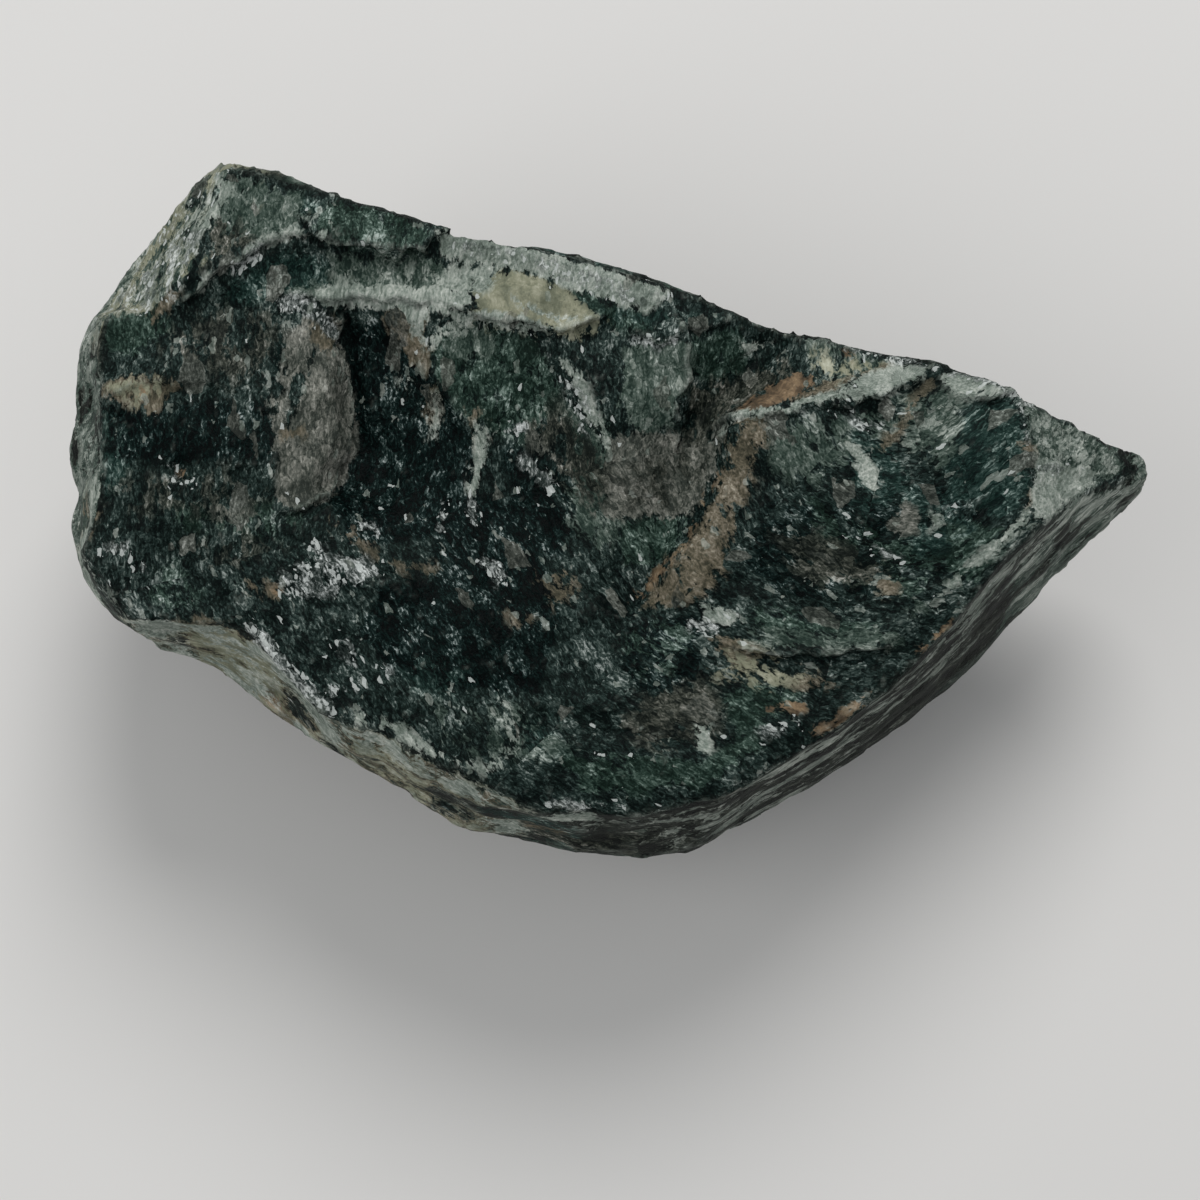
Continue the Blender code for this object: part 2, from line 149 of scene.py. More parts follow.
def beside(line, plan):
    """Distance of plan places from a line of points, above zero on its left."""
    nearest = np.full(len(plan), np.inf)
    side = np.ones(len(plan))
    for start, end in zip(np.array(line), np.array(line)[1:]):
        run = end - start
        length = np.hypot(*run)
        run = run / length
        off = plan - start
        along = np.clip(off @ run, 0.0, length)
        away = off - along[:, None] * run
        distance = np.hypot(away[:, 0], away[:, 1])
        closer = distance < nearest
        nearest = np.where(closer, distance, nearest)
        side = np.where(closer, np.sign(run[0] * off[:, 1] - run[1] * off[:, 0]), side)
    return nearest * side


# Stands in for the rise of a level line, which nothing crosses
NO_RISE = 1e-9


def within(outline, plan):
    """Distance of plan places from an outline, above zero inside it."""
    closed = list(outline) + [outline[0]]
    distance = np.abs(beside(closed, plan))
    crossings = np.zeros(len(plan), dtype=int)
    for (ax, ay), (bx, by) in zip(closed, closed[1:]):
        spans = (ay > plan[:, 1]) != (by > plan[:, 1])
        across = ax + (plan[:, 1] - ay) * (bx - ax) / ((by - ay) or NO_RISE)
        crossings += spans & (plan[:, 0] < across)
    return np.where(crossings % 2 == 1, distance, -distance)


# What counts as the top: it lies inside the rim and high up, and near the rim it also looks up
ACROSS_RIM = (-0.8, 0.6)
WELL_INSIDE = (3.0, 5.0)
LOOKING_UP = (0.10, 0.45)
HIGH_UP = (18.0, 22.0)
ways = spread(facing(), 4)
ways /= np.linalg.norm(ways, axis=1)[:, None]
inward = within(RIM, places[:, :2])
upward = np.maximum(smooth_step(ways[:, 2], *LOOKING_UP), smooth_step(inward, *WELL_INSIDE))
top = smooth_step(inward, *ACROSS_RIM) * smooth_step(places[:, 2], *HIGH_UP) * upward


def fractal(at, size, layers, seed):
    """Uneven lumps of the given size, from about -1 to 1."""
    moved = at / size + seed
    return np.array([noise.fractal(Vector(place), 1.0, 2.0, layers) for place in moved])


# Takes the facets' middles far apart, so that each facet draws a tilt of its own
FACET_SPREAD = 31.7
HALF = Vector((0.5, 0.5, 0.5))


def facets(at, size):
    """Small flat facets that each tilt their own way: how high each place stands, in facets."""
    heights = []
    for place in at / size:
        middle = noise.voronoi(place)[1][0]
        tilt = noise.cell_vector(middle * FACET_SPREAD) - HALF
        heights.append(tilt.dot(Vector(place) - middle))
    return np.array(heights)


def from_leaf_centre(plan):
    """How far a plan place is from the leaves' centre, and how far round it, in millimetres."""
    off = plan - LEAF_CENTRE
    distance = np.hypot(off[:, 0], off[:, 1])
    angle = np.arctan2(off[:, 0], -off[:, 1])
    return distance, LEAF_RADIUS * angle


# Each crest is a line along the upper edge of a small cliff, walked with the high side on the
# left, and how much it is sharpened
CRESTS = [
    ([(-37.5, 17.0), (-34.0, 19.4), (-31.1, 21.4), (-28.7, 22.3), (-25.1, 21.8), (-21.5, 21.0),
      (-17.5, 20.4)], 0.35),
    ([(-27.6, 23.2), (-26.9, 22.2), (-23.8, 21.2), (-20.3, 20.4), (-17.1, 20.2), (-15.5, 21.7)],
     0.30),
    ([(-29.6, 16.9), (-24.7, 17.0), (-20.7, 16.8), (-17.1, 16.4)], 0.25),
    ([(-13.9, 15.6), (-10.8, 14.8), (-8.2, 14.2), (-5.1, 13.4), (-2.9, 13.5), (-1.6, 14.4)], 0.35),
    ([(-24.0, 15.8), (-24.7, 13.6), (-23.7, 10.8), (-23.2, 7.2), (-23.5, 4.4), (-24.7, 0.6),
      (-26.3, -1.6), (-28.4, -2.2)], -0.35),
    ([(6.0, 4.2), (6.1, 7.0), (6.9, 9.6), (6.9, 12.0), (6.4, 14.2)], 0.30),
    ([(2.0, 13.2), (4.2, 12.6), (6.8, 13.8), (10.5, 14.8)], 0.20),
    ([(9.6, 5.6), (13.0, 5.6), (17.7, 6.4), (20.8, 6.4), (23.4, 7.2), (26.6, 8.9)], 0.25),
    ([(28.4, 10.4), (29.3, 8.6), (30.6, 7.3), (33.2, 7.4), (35.4, 8.2)], 0.20),
    ([(10.6, -14.6), (14.5, -15.2), (19.7, -15.3), (23.6, -14.8)], 0.25),
    ([(-44.6, 7.8), (-41.8, 8.8), (-37.8, 9.3), (-35.5, 9.0)], 0.15),
    ([(-6.0, -21.2), (-1.2, -21.6), (4.0, -22.0)], 0.15),
]
CREST_REACH = 0.8
CREST_GAIN = 1.5
CREST_THICKNESS = 0.15


def sharpened_crests(plan):
    """Up on the high side of each crest, down on its low side, and less with distance."""
    height = np.zeros(len(plan))
    for line, lift in CRESTS:
        away = beside(line, plan)
        rise = np.exp(-np.abs(away) / CREST_REACH) * np.clip(away / CREST_THICKNESS, -1.0, 1.0)
        height += CREST_GAIN * lift * rise
    return height


# The relief of the break: each kind's height in millimetres, on top and on the flanks
TOP_LUMPS = 0.16
TOP_BIG_FACETS = 0.26
TOP_SMALL_FACETS = 0.12
TOP_LEAF_STEPS = 0.16
FLANK_LUMPS = 0.30
FLANK_FACETS = 0.34
FLANK_WAVES = 0.14
# How far the crests and leaves wander, and how fast the leaves change outwards, along their arcs
# and upwards
WANDER = 0.55
LEAF_CHANGE = (1.0, 0.25, 0.2)
# A full swell of the leaves breaks off in this many steps, each lowest at this share of its width
STEPS_IN_SWELL = 3.0
STEP_FOOT = 0.35
wobble = np.stack([fractal(places, size=3.0, layers=4, seed=11.3),
                   fractal(places, size=3.0, layers=4, seed=47.1)], axis=1)
plan = places[:, :2] + WANDER * wobble
distance, arc = from_leaf_centre(plan)
leaf_places = np.stack([distance, arc, places[:, 2]], axis=1) * LEAF_CHANGE
leaf_swells = fractal(leaf_places, size=2.6, layers=3, seed=5.0)
leaf_steps = np.abs((leaf_swells * STEPS_IN_SWELL) % 1.0 - STEP_FOOT)
top_relief = (
    TOP_LUMPS * fractal(places, size=3.4, layers=4, seed=2.0)
    + TOP_BIG_FACETS * facets(places, size=3.2)
    + TOP_SMALL_FACETS * facets(places, size=1.3)
    + TOP_LEAF_STEPS * leaf_steps
    + sharpened_crests(plan)
)
flank_relief = (
    FLANK_LUMPS * fractal(places, size=6.0, layers=4, seed=3.0)
    + FLANK_FACETS * facets(places * (0.6, 0.6, 1.0), size=4.0)
    + FLANK_WAVES * fractal(places * (0.12, 0.12, 1.0), size=1.5, layers=3, seed=8.0)
)
# The large form is the solid's own, so what this many rounds of averaging leave of the relief is
# taken off again. The skin keeps still at the first height, and moves fully from the second up.
LARGE_FORM = 60
NEAR_FLOOR = (0.1, 2.5)
lift = top * top_relief + (1.0 - top) * flank_relief
lift -= spread(lift, LARGE_FORM)
resting = smooth_step(places[:, 2], *NEAR_FLOOR)


def bulge(rounds):
    """How far the skin stands out, in millimetres, from its average over some rounds."""
    return np.einsum("ij,ij->i", places - spread(places, rounds), ways)


# Edges that stand out this far, in millimetres, are chipped in places
SHARP_EDGE = (0.05, 0.22)
CHIPPED_PLACES = (-0.1, 0.5)
CHIP_DEPTH = 0.45
chips = (smooth_step(bulge(12), *SHARP_EDGE)
         * smooth_step(fractal(places, size=2.0, layers=3, seed=21.0), *CHIPPED_PLACES))
lift -= CHIP_DEPTH * chips
places += ways * (lift * resting)[:, None]
low, high = np.array(cad_box[0]) / MILLIMETRE, np.array(cad_box[1]) / MILLIMETRE
places = np.clip(places, low, high)

# What stands out this far is worn pale, and what lies back this far is darkened with painted shade
WORN = (0.04, 0.28)
SUNKEN = (0.04, 0.30)
standing_out = bulge(10)
edge_wear = smooth_step(standing_out, *WORN)
painted_crevice_shade = smooth_step(-standing_out, *SUNKEN)

# The minerals in the stone. Clear quartz looks nearly black, fresh mica green, thin mica
# grey-brown, and the cracks that let water in are tan and rusty. Each mark has how fully its
# mineral covers it, then its outline in plan, or for a streak its half width and its line.


def patch(cover, *outline):
    """A mark with an outline."""
    return cover, 0.0, outline


def streak(cover, half_width, *line):
    """A mark along a line."""
    return cover, half_width, line


# Each mineral has how many millimetres its marks take to fade at their edges, and its marks. Each
# covers those before it.
MINERALS = {
    # clear dark quartz, and painted shadow lines under three crests
    "glass_and_shadow": (1.6, [
        patch(1.4, (-24.0, 15.6), (-17.8, 14.6), (-16.2, 10.6), (-13.6, 6.6), (-11.4, 3.0),
              (-12.0, -0.6), (-14.5, -3.5), (-18.8, -4.5), (-23.1, -5.2), (-25.0, -0.8),
              (-23.2, 5.2), (-23.6, 10.5)),
        patch(0.9, (-46.3, 7.4), (-40.9, 6.9), (-36.5, 7.4), (-31.2, 7.6), (-29.4, 5.9),
              (-29.6, 2.3), (-36.3, 1.6), (-45.2, 2.4)),
        patch(1.4, (-20.3, -9.4), (-14.2, -8.0), (-10.0, -4.0), (-6.0, -6.0), (-4.6, -12.0),
              (-6.6, -18.2), (-11.8, -18.2), (-18.5, -16.7), (-22.0, -13.0)),
        patch(0.25, (13.3, 5.4), (18.2, 6.2), (20.8, 4.4), (21.6, 0.8), (20.6, -3.6),
              (16.3, -6.9), (13.5, -5.2), (12.6, -0.8), (13.4, 2.5)),
        patch(0.8, (13.7, -1.7), (20.7, -1.9), (28.6, -0.1), (32.5, -2.6), (31.5, -7.1),
              (24.9, -10.6), (16.3, -10.4), (11.1, -7.8)),
        patch(0.9, (1.1, -11.9), (7.6, -11.3), (8.0, -17.4), (4.1, -19.1), (0.6, -17.3)),
        patch(0.7, (-31.0, 12.6), (-27.4, 13.6), (-25.6, 11.8), (-26.6, 7.8), (-29.8, 8.2)),
        patch(0.8, (-6.0, 6.0), (-3.6, 3.0), (-1.6, -2.0), (-5.0, -7.0), (-9.0, -3.0),
              (-10.0, 4.0)),
        # painted shadow: a dark line just below the crest of the lower right ledge, where its
        # shadow falls
        streak(0.7, 0.4, (11.5, -14.9), (16.0, -15.8), (21.0, -15.8), (24.5, -15.2)),
        # painted shadow: a dark line just below the crest of the upper ledge
        streak(0.9, 0.45, (-24.0, 16.0), (-20.0, 16.0), (-17.6, 15.7)),
        patch(1.2, (-16.0, -0.6), (-11.0, -0.4), (-6.4, -3.6), (-5.4, -8.6), (-9.0, -10.4),
              (-15.6, -8.4)),
        patch(0.9, (-42.4, -10.8), (-43.1, -9.2), (-41.4, -10.0), (-40.4, -11.9)),
        # painted shadow: a dark line just below the crest that runs beside it
        streak(0.8, 0.4, (2.2, 12.5), (5.0, 12.1), (6.8, 12.9), (10.4, 13.9)),
    ]),
    # fresh green mica
    "green": (1.8, [
        patch(1.2, (-5.3, 19.1), (-2.9, 17.6), (-1.4, 15.0), (2.4, 14.9), (-1.1, 16.7),
              (-3.8, 19.2)),
        patch(0.9, (-35.7, 27.3), (-34.2, 28.8), (-33.5, 28.2), (-34.7, 25.5), (-35.8, 24.6)),
        patch(0.7, (49.3, 5.3), (46.4, 4.0), (44.8, 5.0)),
        patch(1.0, (-26.9, 22.4), (-26.2, 24.0), (-24.3, 25.4), (-20.0, 25.2), (-17.1, 23.8),
              (-15.5, 21.9), (-17.1, 20.4), (-20.3, 20.6), (-23.8, 21.4)),
        patch(0.9, (-46.2, 17.4), (-43.6, 17.4), (-40.4, 16.9), (-39.3, 14.0), (-42.0, 11.8),
              (-46.2, 12.6)),
        patch(0.9, (-15.7, 15.2), (-12.6, 14.5), (-9.1, 14.0), (-6.6, 13.4), (-4.6, 8.9),
              (-4.7, 6.9), (-8.2, 4.7), (-12.4, 5.8), (-15.2, 9.0), (-16.2, 11.6)),
        patch(0.5, (-40.6, -7.0), (-38.4, -6.5), (-35.8, -7.8), (-36.5, -11.0), (-39.2, -11.4),
              (-41.0, -9.6)),
        patch(1.0, (7.0, 13.5), (10.5, 14.6), (12.4, 13.9), (11.8, 11.0), (7.8, 9.7),
              (6.6, 11.1)),
        patch(0.7, (-4.7, 17.6), (-2.9, 18.1), (0.7, 16.7), (3.3, 15.8), (3.3, 13.4),
              (-0.2, 13.9), (-2.0, 14.8)),
        patch(1.0, (0.7, -3.0), (3.3, -1.5), (6.8, -2.0), (5.9, -5.4), (3.3, -6.3), (1.1, -6.5)),
        patch(0.5, (1.5, -11.2), (7.0, -11.7), (7.2, -15.4), (5.0, -17.4), (2.3, -17.0),
              (0.6, -14.7)),
        patch(1.0, (-4.6, -23.9), (0.6, -23.9), (7.5, -24.4), (12.6, -21.6), (12.4, -23.9),
              (7.5, -26.5), (2.3, -27.1), (-2.8, -27.1)),
        patch(1.0, (29.3, -3.2), (34.7, -4.3), (32.8, -7.0), (31.5, -9.6), (29.7, -8.8),
              (28.4, -6.2), (27.6, -3.7)),
        patch(0.9, (9.4, -19.0), (12.0, -17.4), (17.0, -18.6), (14.5, -20.8), (11.0, -22.0)),
        patch(0.9, (10.6, -10.8), (15.0, -11.4), (21.0, -12.4), (24.0, -12.8), (19.7, -13.8),
              (13.0, -13.4)),
        patch(0.6, (-40.0, -1.0), (-30.0, -1.0), (-25.0, -3.0), (-30.0, -5.0), (-38.0, -4.4)),
        patch(0.6, (17.0, -1.0), (22.0, -4.0), (30.0, -6.0), (27.0, -11.0), (18.0, -9.0)),
    ]),
    # blue-green rock between the two
    "teal": (2.2, [
        patch(0.9, (-34.0, 27.6), (-28.0, 26.6), (-26.0, 24.6), (-28.4, 23.6), (-33.0, 24.6)),
        patch(1.0, (-34.2, 17.6), (-30.8, 20.0), (-27.8, 20.9), (-24.6, 20.4), (-24.6, 17.6),
              (-29.6, 17.2), (-34.0, 16.4)),
        patch(1.0, (31.0, 6.9), (35.1, 7.6), (37.4, 4.3), (36.6, -0.6), (34.2, -3.6),
              (30.0, -2.1), (28.6, 1.2)),
        patch(0.42, (-18.5, -14.7), (-12.4, -15.6), (-8.0, -19.1), (-12.4, -20.8),
              (-18.4, -18.2)),
        patch(0.8, (20.0, 5.4), (24.5, 3.4), (27.0, -2.0), (22.0, -3.2), (20.0, 1.0)),
        patch(0.8, (-9.0, -20.4), (-5.0, -20.6), (-4.0, -23.8), (-7.6, -24.2)),
        patch(0.8, (-16.2, 19.6), (-13.6, 19.8), (-13.4, 18.4), (-15.6, 17.9)),
        patch(0.8, (-47.4, 8.7), (-43.7, 6.0), (-42.6, 0.5), (-45.1, -1.2), (-47.6, 4.9)),
        patch(0.7, (-4.0, 17.0), (6.0, 15.4), (12.0, 14.4), (16.0, 13.6), (8.0, 14.2),
              (0.0, 14.6)),
        patch(0.6, (24.0, -1.0), (30.0, -1.0), (33.0, -5.0), (26.0, -8.0)),
    ]),
    # grey-green rock, grainy and half clear
    "grey": (2.0, [
        patch(0.9, (-35.9, 26.2), (-33.5, 28.6), (-28.0, 26.4), (-27.4, 24.0), (-28.4, 22.6),
              (-33.1, 21.8), (-36.3, 22.4)),
        patch(1.4, (-25.1, 20.6), (-18.9, 20.3), (-15.2, 19.8), (-14.6, 17.6), (-18.9, 17.0),
              (-24.7, 17.5)),
        patch(1.4, (1.4, 12.1), (4.6, 13.1), (6.8, 12.3), (6.7, 9.2), (5.0, 6.0), (2.9, 4.7),
              (0.6, 7.0)),
        patch(0.9, (25.3, 7.3), (30.2, 8.9), (31.2, 4.6), (28.6, 0.6), (25.6, 2.6)),
        patch(0.8, (17.1, 14.0), (25.9, 11.0), (22.6, 8.9), (19.9, 8.2), (16.8, 11.0)),
        patch(0.8, (-4.7, 8.0), (-0.2, 6.0), (2.2, 1.0), (1.1, -2.5), (-1.1, -6.3),
              (-4.0, -2.5)),
        patch(0.5, (-16.7, -19.1), (-8.0, -19.1), (-2.8, -22.6), (-6.3, -25.2),
              (-14.9, -24.3)),
        patch(0.55, (-30.0, 16.0), (-24.4, 16.4), (-18.8, 16.4), (-22.0, 18.8), (-31.4, 18.4)),
        patch(0.7, (13.6, 5.2), (18.0, 6.0), (21.6, 5.0), (21.0, 1.0), (17.0, -0.6), (13.4, 1.0)),
        patch(0.6, (20.0, 6.0), (24.5, 8.0), (26.0, 5.0), (23.4, 2.6)),
        patch(1.4, (36.6, 7.2), (42.2, 6.7), (47.6, 5.0), (45.0, 3.0), (41.4, 0.4), (38.0, -2.6),
              (37.0, 2.0)),
        patch(1.1, (-14.6, 15.4), (-11.6, 15.2), (-10.4, 12.4), (-13.0, 10.6), (-15.2, 12.4)),
        streak(0.6, 0.7, (26.6, -11.4), (31.0, -8.0), (36.0, -3.4), (41.0, 0.6)),
        streak(0.9, 0.9, (11.0, -13.6), (15.0, -14.0), (20.0, -14.2), (24.0, -13.8)),
    ]),
    # grey-brown rock with a film of dust
    "dusty": (1.5, [
        patch(0.9, (-29.6, 9.6), (-29.0, 13.6), (-26.6, 16.0), (-24.0, 15.4), (-24.4, 12.6),
              (-26.6, 11.6), (-27.8, 8.4)),
        patch(1.6, (-26.4, 12.4), (-24.2, 13.4), (-23.8, 10.8), (-23.2, 7.2), (-23.5, 4.4),
              (-24.7, 0.7), (-26.2, -1.3), (-28.4, -1.9), (-29.3, -1.3), (-28.9, 3.2),
              (-27.7, 7.7)),
        patch(1.2, (-0.6, 4.4), (4.2, 5.0), (9.6, 4.6), (8.8, 1.0), (7.2, -2.4), (3.4, -2.0),
              (-0.8, -2.4)),
        patch(1.2, (24.1, -3.6), (25.5, -2.3), (26.7, -3.2), (26.3, -4.5), (24.5, -4.9)),
        streak(0.8, 0.6, (-7.0, 5.2), (-4.7, 2.4), (-2.2, 0.0)),
        streak(0.8, 0.5, (-4.6, 4.8), (-2.6, 1.8), (-1.4, -1.6)),
        patch(0.5, (-40.0, 12.6), (-35.0, 14.8), (-31.4, 13.6), (-33.6, 11.6), (-38.4, 10.8)),
        patch(0.6, (-31.0, 9.0), (-28.6, 8.4), (-28.2, 2.6), (-30.2, 3.0)),
        patch(0.6, (-37.0, -1.6), (-33.0, -1.0), (-31.0, -2.6), (-35.0, -4.0)),
    ]),
    # grey-brown rock
    "brown": (2.6, [
        patch(0.55, (-41.2, 13.6), (-35.0, 16.6), (-29.7, 16.0), (-29.6, 12.0), (-32.5, 8.6),
              (-38.8, 10.6)),
        patch(0.7, (-36.5, 25.0), (-34.4, 24.8), (-31.0, 21.4), (-33.8, 20.0), (-37.0, 18.6)),
        patch(0.5, (0.6, 2.4), (4.2, 3.6), (7.8, 5.4), (9.0, 3.0), (8.0, 0.7), (6.0, -2.2),
              (2.4, -2.8), (-0.2, -0.8)),
        patch(1.0, (6.9, 9.2), (11.9, 11.0), (15.0, 12.2), (16.7, 9.9), (13.0, 7.6),
              (9.5, 5.4), (6.4, 4.0)),
        patch(0.9, (3.2, -18.6), (7.5, -17.4), (9.3, -19.1), (8.8, -22.6), (5.8, -23.6),
              (2.3, -23.1), (0.6, -21.4)),
        patch(0.5, (-37.0, -4.6), (-32.0, -3.6), (-29.0, -5.4), (-31.6, -8.0), (-36.0, -7.2)),
        patch(0.7, (14.0, -4.2), (19.6, -4.8), (26.0, -8.0), (23.0, -9.8), (16.5, -9.0)),
        patch(0.7, (14.0, -16.0), (19.0, -16.4), (18.4, -18.6), (14.6, -18.0)),
        patch(0.5, (-45.0, 0.4), (-40.0, 1.6), (-34.0, 1.4), (-29.0, -1.4), (-33.0, -3.0),
              (-42.0, -3.0)),
        patch(0.7, (9.0, -4.0), (13.0, 0.0), (13.4, 4.0), (10.4, 3.0), (8.4, -2.0)),
        patch(0.6, (-8.2, 6.5), (-4.7, 7.9), (0.4, 2.7), (-0.1, -2.6), (-4.7, 0.1)),
    ]),
    # stone stained tan by clay
    "tan": (1.7, [
        patch(1.05, (-20.3, 15.3), (-18.4, 16.3), (-15.9, 15.8), (-16.3, 13.3), (-16.6, 10.6),
              (-17.9, 11.3), (-19.0, 13.2)),
        patch(1.3, (-45.4, 8.2), (-43.4, 9.8), (-41.0, 9.6), (-38.6, 8.9), (-40.0, 7.4),
              (-41.0, 6.2), (-42.2, 7.4)),
        streak(0.8, 0.7, (-13.0, 16.4), (-10.8, 15.7), (-8.2, 15.1), (-5.1, 14.2)),
        patch(1.0, (10.6, 5.4), (13.6, 5.7), (13.2, 3.4), (12.4, 1.2), (11.4, -1.7), (10.4, -1.4),
              (10.0, 1.8), (10.4, 3.8)),
        patch(0.85, (10.0, 1.6), (11.8, -0.6), (10.7, -5.2), (9.5, -8.5), (7.6, -10.5),
              (4.8, -10.7), (2.4, -10.6), (3.7, -8.9), (6.2, -6.4), (7.8, -3.1), (8.7, -0.5)),
        streak(0.9, 0.7, (15.5, 7.3), (19.0, 8.4), (21.5, 9.1), (24.0, 10.2)),
        streak(0.8, 0.45, (28.0, 8.9), (26.6, 7.0), (25.2, 4.6), (23.6, 3.0)),
        patch(0.75, (-6.6, -7.5), (-3.5, -6.8), (-3.1, -9.3), (-4.6, -11.0), (-6.2, -10.2)),
        patch(0.7, (-9.6, -11.2), (-7.0, -11.8), (-8.1, -12.9)),
        streak(0.8, 0.7, (-38.0, -12.4), (-34.4, -12.6), (-31.6, -13.8)),
        patch(0.8, (8.0, -13.9), (10.2, -13.2), (12.7, -14.5), (13.6, -15.8), (11.0, -17.2),
              (8.9, -16.1)),
        patch(0.7, (-27.0, 15.0), (-24.4, 15.6), (-24.2, 12.8), (-25.4, 11.6), (-27.0, 13.4)),
        streak(0.9, 0.5, (-39.2, 17.3), (-40.0, 16.5), (-40.8, 15.3)),
        patch(0.8, (-32.2, -8.4), (-29.9, -8.4), (-28.6, -9.4), (-29.2, -10.7),
              (-31.4, -10.5)),
        patch(0.8, (22.3, -8.8), (24.1, -8.3), (25.0, -9.7), (24.0, -10.4), (22.6, -9.6)),
        patch(0.8, (35.3, 3.6), (38.0, 3.8), (37.4, 2.6), (35.8, 2.6)),
        patch(0.8, (36.2, -0.9), (37.8, -0.1), (37.8, -2.0), (36.4, -2.2)),
        streak(0.8, 0.5, (-28.9, 4.6), (-27.6, 5.0)),
        streak(0.6, 0.7, (-16.1, 9.0), (-15.9, 7.0)),
        streak(0.6, 0.8, (-12.2, 7.0), (-11.9, 5.0)),
        patch(0.6, (-37.9, 26.6), (-36.9, 24.0), (-38.5, 20.0), (-40.6, 18.4), (-41.0, 22.0)),
        patch(0.6, (14.0, -17.0), (17.0, -16.6), (20.0, -17.6), (16.0, -18.6)),
        streak(0.6, 0.6, (-24.4, -3.0), (-20.0, -6.6), (-16.0, -7.4)),
    ]),
    # smooth yellowish quartz
    "olive": (2.2, [
        patch(1.25, (-12.9, 17.4), (-12.4, 18.9), (-10.2, 19.7), (-7.7, 19.2), (-5.3, 18.2),
              (-3.2, 16.1), (-0.8, 14.4), (-2.9, 13.2), (-5.3, 13.2), (-8.0, 14.1), (-12.6, 14.6)),
        patch(0.65, (17.0, 12.0), (20.0, 12.2), (24.3, 11.0), (23.2, 9.8), (19.7, 9.0),
              (17.2, 9.7)),
        patch(0.55, (8.4, -14.6), (11.6, -14.4), (14.6, -15.4), (17.4, -17.0), (14.0, -18.6),
              (9.0, -17.2)),
        patch(0.8, (-35.2, 29.1), (-36.1, 27.4), (-37.8, 28.4)),
        patch(1.1, (-44.2, 8.8), (-42.0, 9.6), (-39.6, 9.0), (-41.6, 7.2)),
    ]),
    # rust in the cracks
    "rust": (1.3, [
        patch(1.4, (17.6, 9.9), (16.6, 10.2), (14.4, 9.3), (12.3, 7.8), (11.0, 6.2), (11.8, 5.8),
              (13.3, 6.2), (15.5, 7.3), (17.4, 8.4)),
        patch(0.6, (9.4, 1.0), (8.7, -0.5), (7.5, -3.1), (6.2, -5.6), (4.3, -7.8), (1.9, -10.3),
              (1.7, -9.5), (3.3, -7.6), (5.6, -5.4), (7.1, -2.8), (8.2, -0.5)),
        streak(1.0, 0.4, (20.4, 12.2), (20.8, 11.6)),
        streak(0.8, 0.3, (14.6, 14.9), (15.2, 14.7)),
        streak(1.0, 0.35, (13.4, -20.0), (14.9, -19.7), (16.4, -19.7)),
        streak(0.9, 0.3, (17.4, -22.2), (19.2, -21.0), (22.2, -18.9)),
        streak(0.9, 0.3, (26.6, -14.8), (29.3, -12.6)),
        streak(0.8, 0.3, (-38.0, 1.3), (-37.6, 0.9)),
        streak(0.7, 0.4, (-29.4, -9.6), (-28.6, -9.2)),
        streak(0.7, 0.5, (-42.4, 8.6), (-40.9, 8.2)),
    ]),
    # pale grey-green quartz
    "pale": (1.3, [
        patch(1.2, (-16.0, 22.6), (-10.0, 22.2), (-2.7, 20.4), (5.0, 17.6), (3.0, 15.8),
              (-2.0, 17.2), (-6.5, 19.0), (-10.0, 20.0), (-15.0, 20.4)),
        patch(0.55, (-44.6, 17.4), (-42.4, 21.3), (-39.0, 25.0), (-36.2, 27.6), (-35.0, 26.0),
              (-36.8, 21.1), (-38.3, 17.9), (-40.6, 16.4)),
        patch(0.7, (-19.6, 16.6), (-12.6, 16.6), (-12.4, 13.8), (-14.8, 13.0), (-16.6, 12.4),
              (-18.6, 14.4)),
        streak(1.4, 0.8, (-25.2, 17.2), (-20.7, 17.1), (-17.1, 16.8), (-13.0, 16.4)),
        streak(0.8, 0.25, (-36.9, 17.5), (-34.0, 19.7), (-31.1, 21.7), (-28.7, 22.6),
               (-25.1, 22.0)),
        patch(0.9, (-16.2, 18.4), (-14.5, 19.9), (-11.8, 20.4), (-9.7, 20.0), (-11.0, 17.4),
              (-13.2, 16.4), (-14.9, 17.4)),
        patch(0.9, (-9.4, 16.8), (-8.0, 15.6), (-5.2, 14.3), (-2.2, 14.6), (-6.0, 15.4)),
        patch(0.7, (10.9, 13.3), (12.8, 14.1), (14.6, 13.9), (14.2, 13.1), (11.9, 12.8)),
        patch(1.0, (19.3, 7.2), (20.8, 9.2), (24.5, 10.4), (28.5, 11.0), (26.8, 8.9),
              (23.4, 7.3), (20.8, 6.6)),
        patch(1.3, (37.4, 2.4), (44.6, 3.3), (41.4, 0.4), (38.3, -2.8), (36.8, -3.4),
              (37.0, -0.6)),
        streak(0.8, 0.3, (28.0, -10.6), (31.0, -7.8), (36.0, -3.2), (41.0, 0.8), (46.0, 4.0)),
        patch(0.5, (36.6, 7.2), (42.2, 6.7), (46.6, 5.0), (44.6, 3.4), (37.4, 2.6)),
        patch(0.5, (-25.1, 20.2), (-15.2, 19.6), (-14.6, 17.8), (-24.7, 17.8)),
        streak(1.1, 0.35, (9.6, 5.1), (10.7, 5.8), (12.9, 5.8), (15.5, 6.3), (17.7, 7.1),
               (19.9, 7.3)),
        streak(1.1, 0.45, (-4.5, 11.0), (-3.3, 9.8), (-2.6, 8.1), (-2.0, 6.4), (-1.1, 5.0),
               (-0.6, 3.8)),
        streak(1.0, 0.5, (-12.6, 15.0), (-8.4, 14.4), (-5.4, 13.6)),
        patch(0.9, (28.7, 10.2), (31.0, 10.2), (35.1, 8.4), (33.2, 7.6), (30.6, 7.5),
              (29.3, 8.8)),
        patch(1.0, (7.6, -10.8), (9.3, -10.9), (10.8, -12.0), (10.2, -12.6), (8.0, -12.1)),
        streak(0.5, 0.3, (11.0, -14.1), (14.5, -14.6), (19.7, -14.9), (24.0, -14.4)),
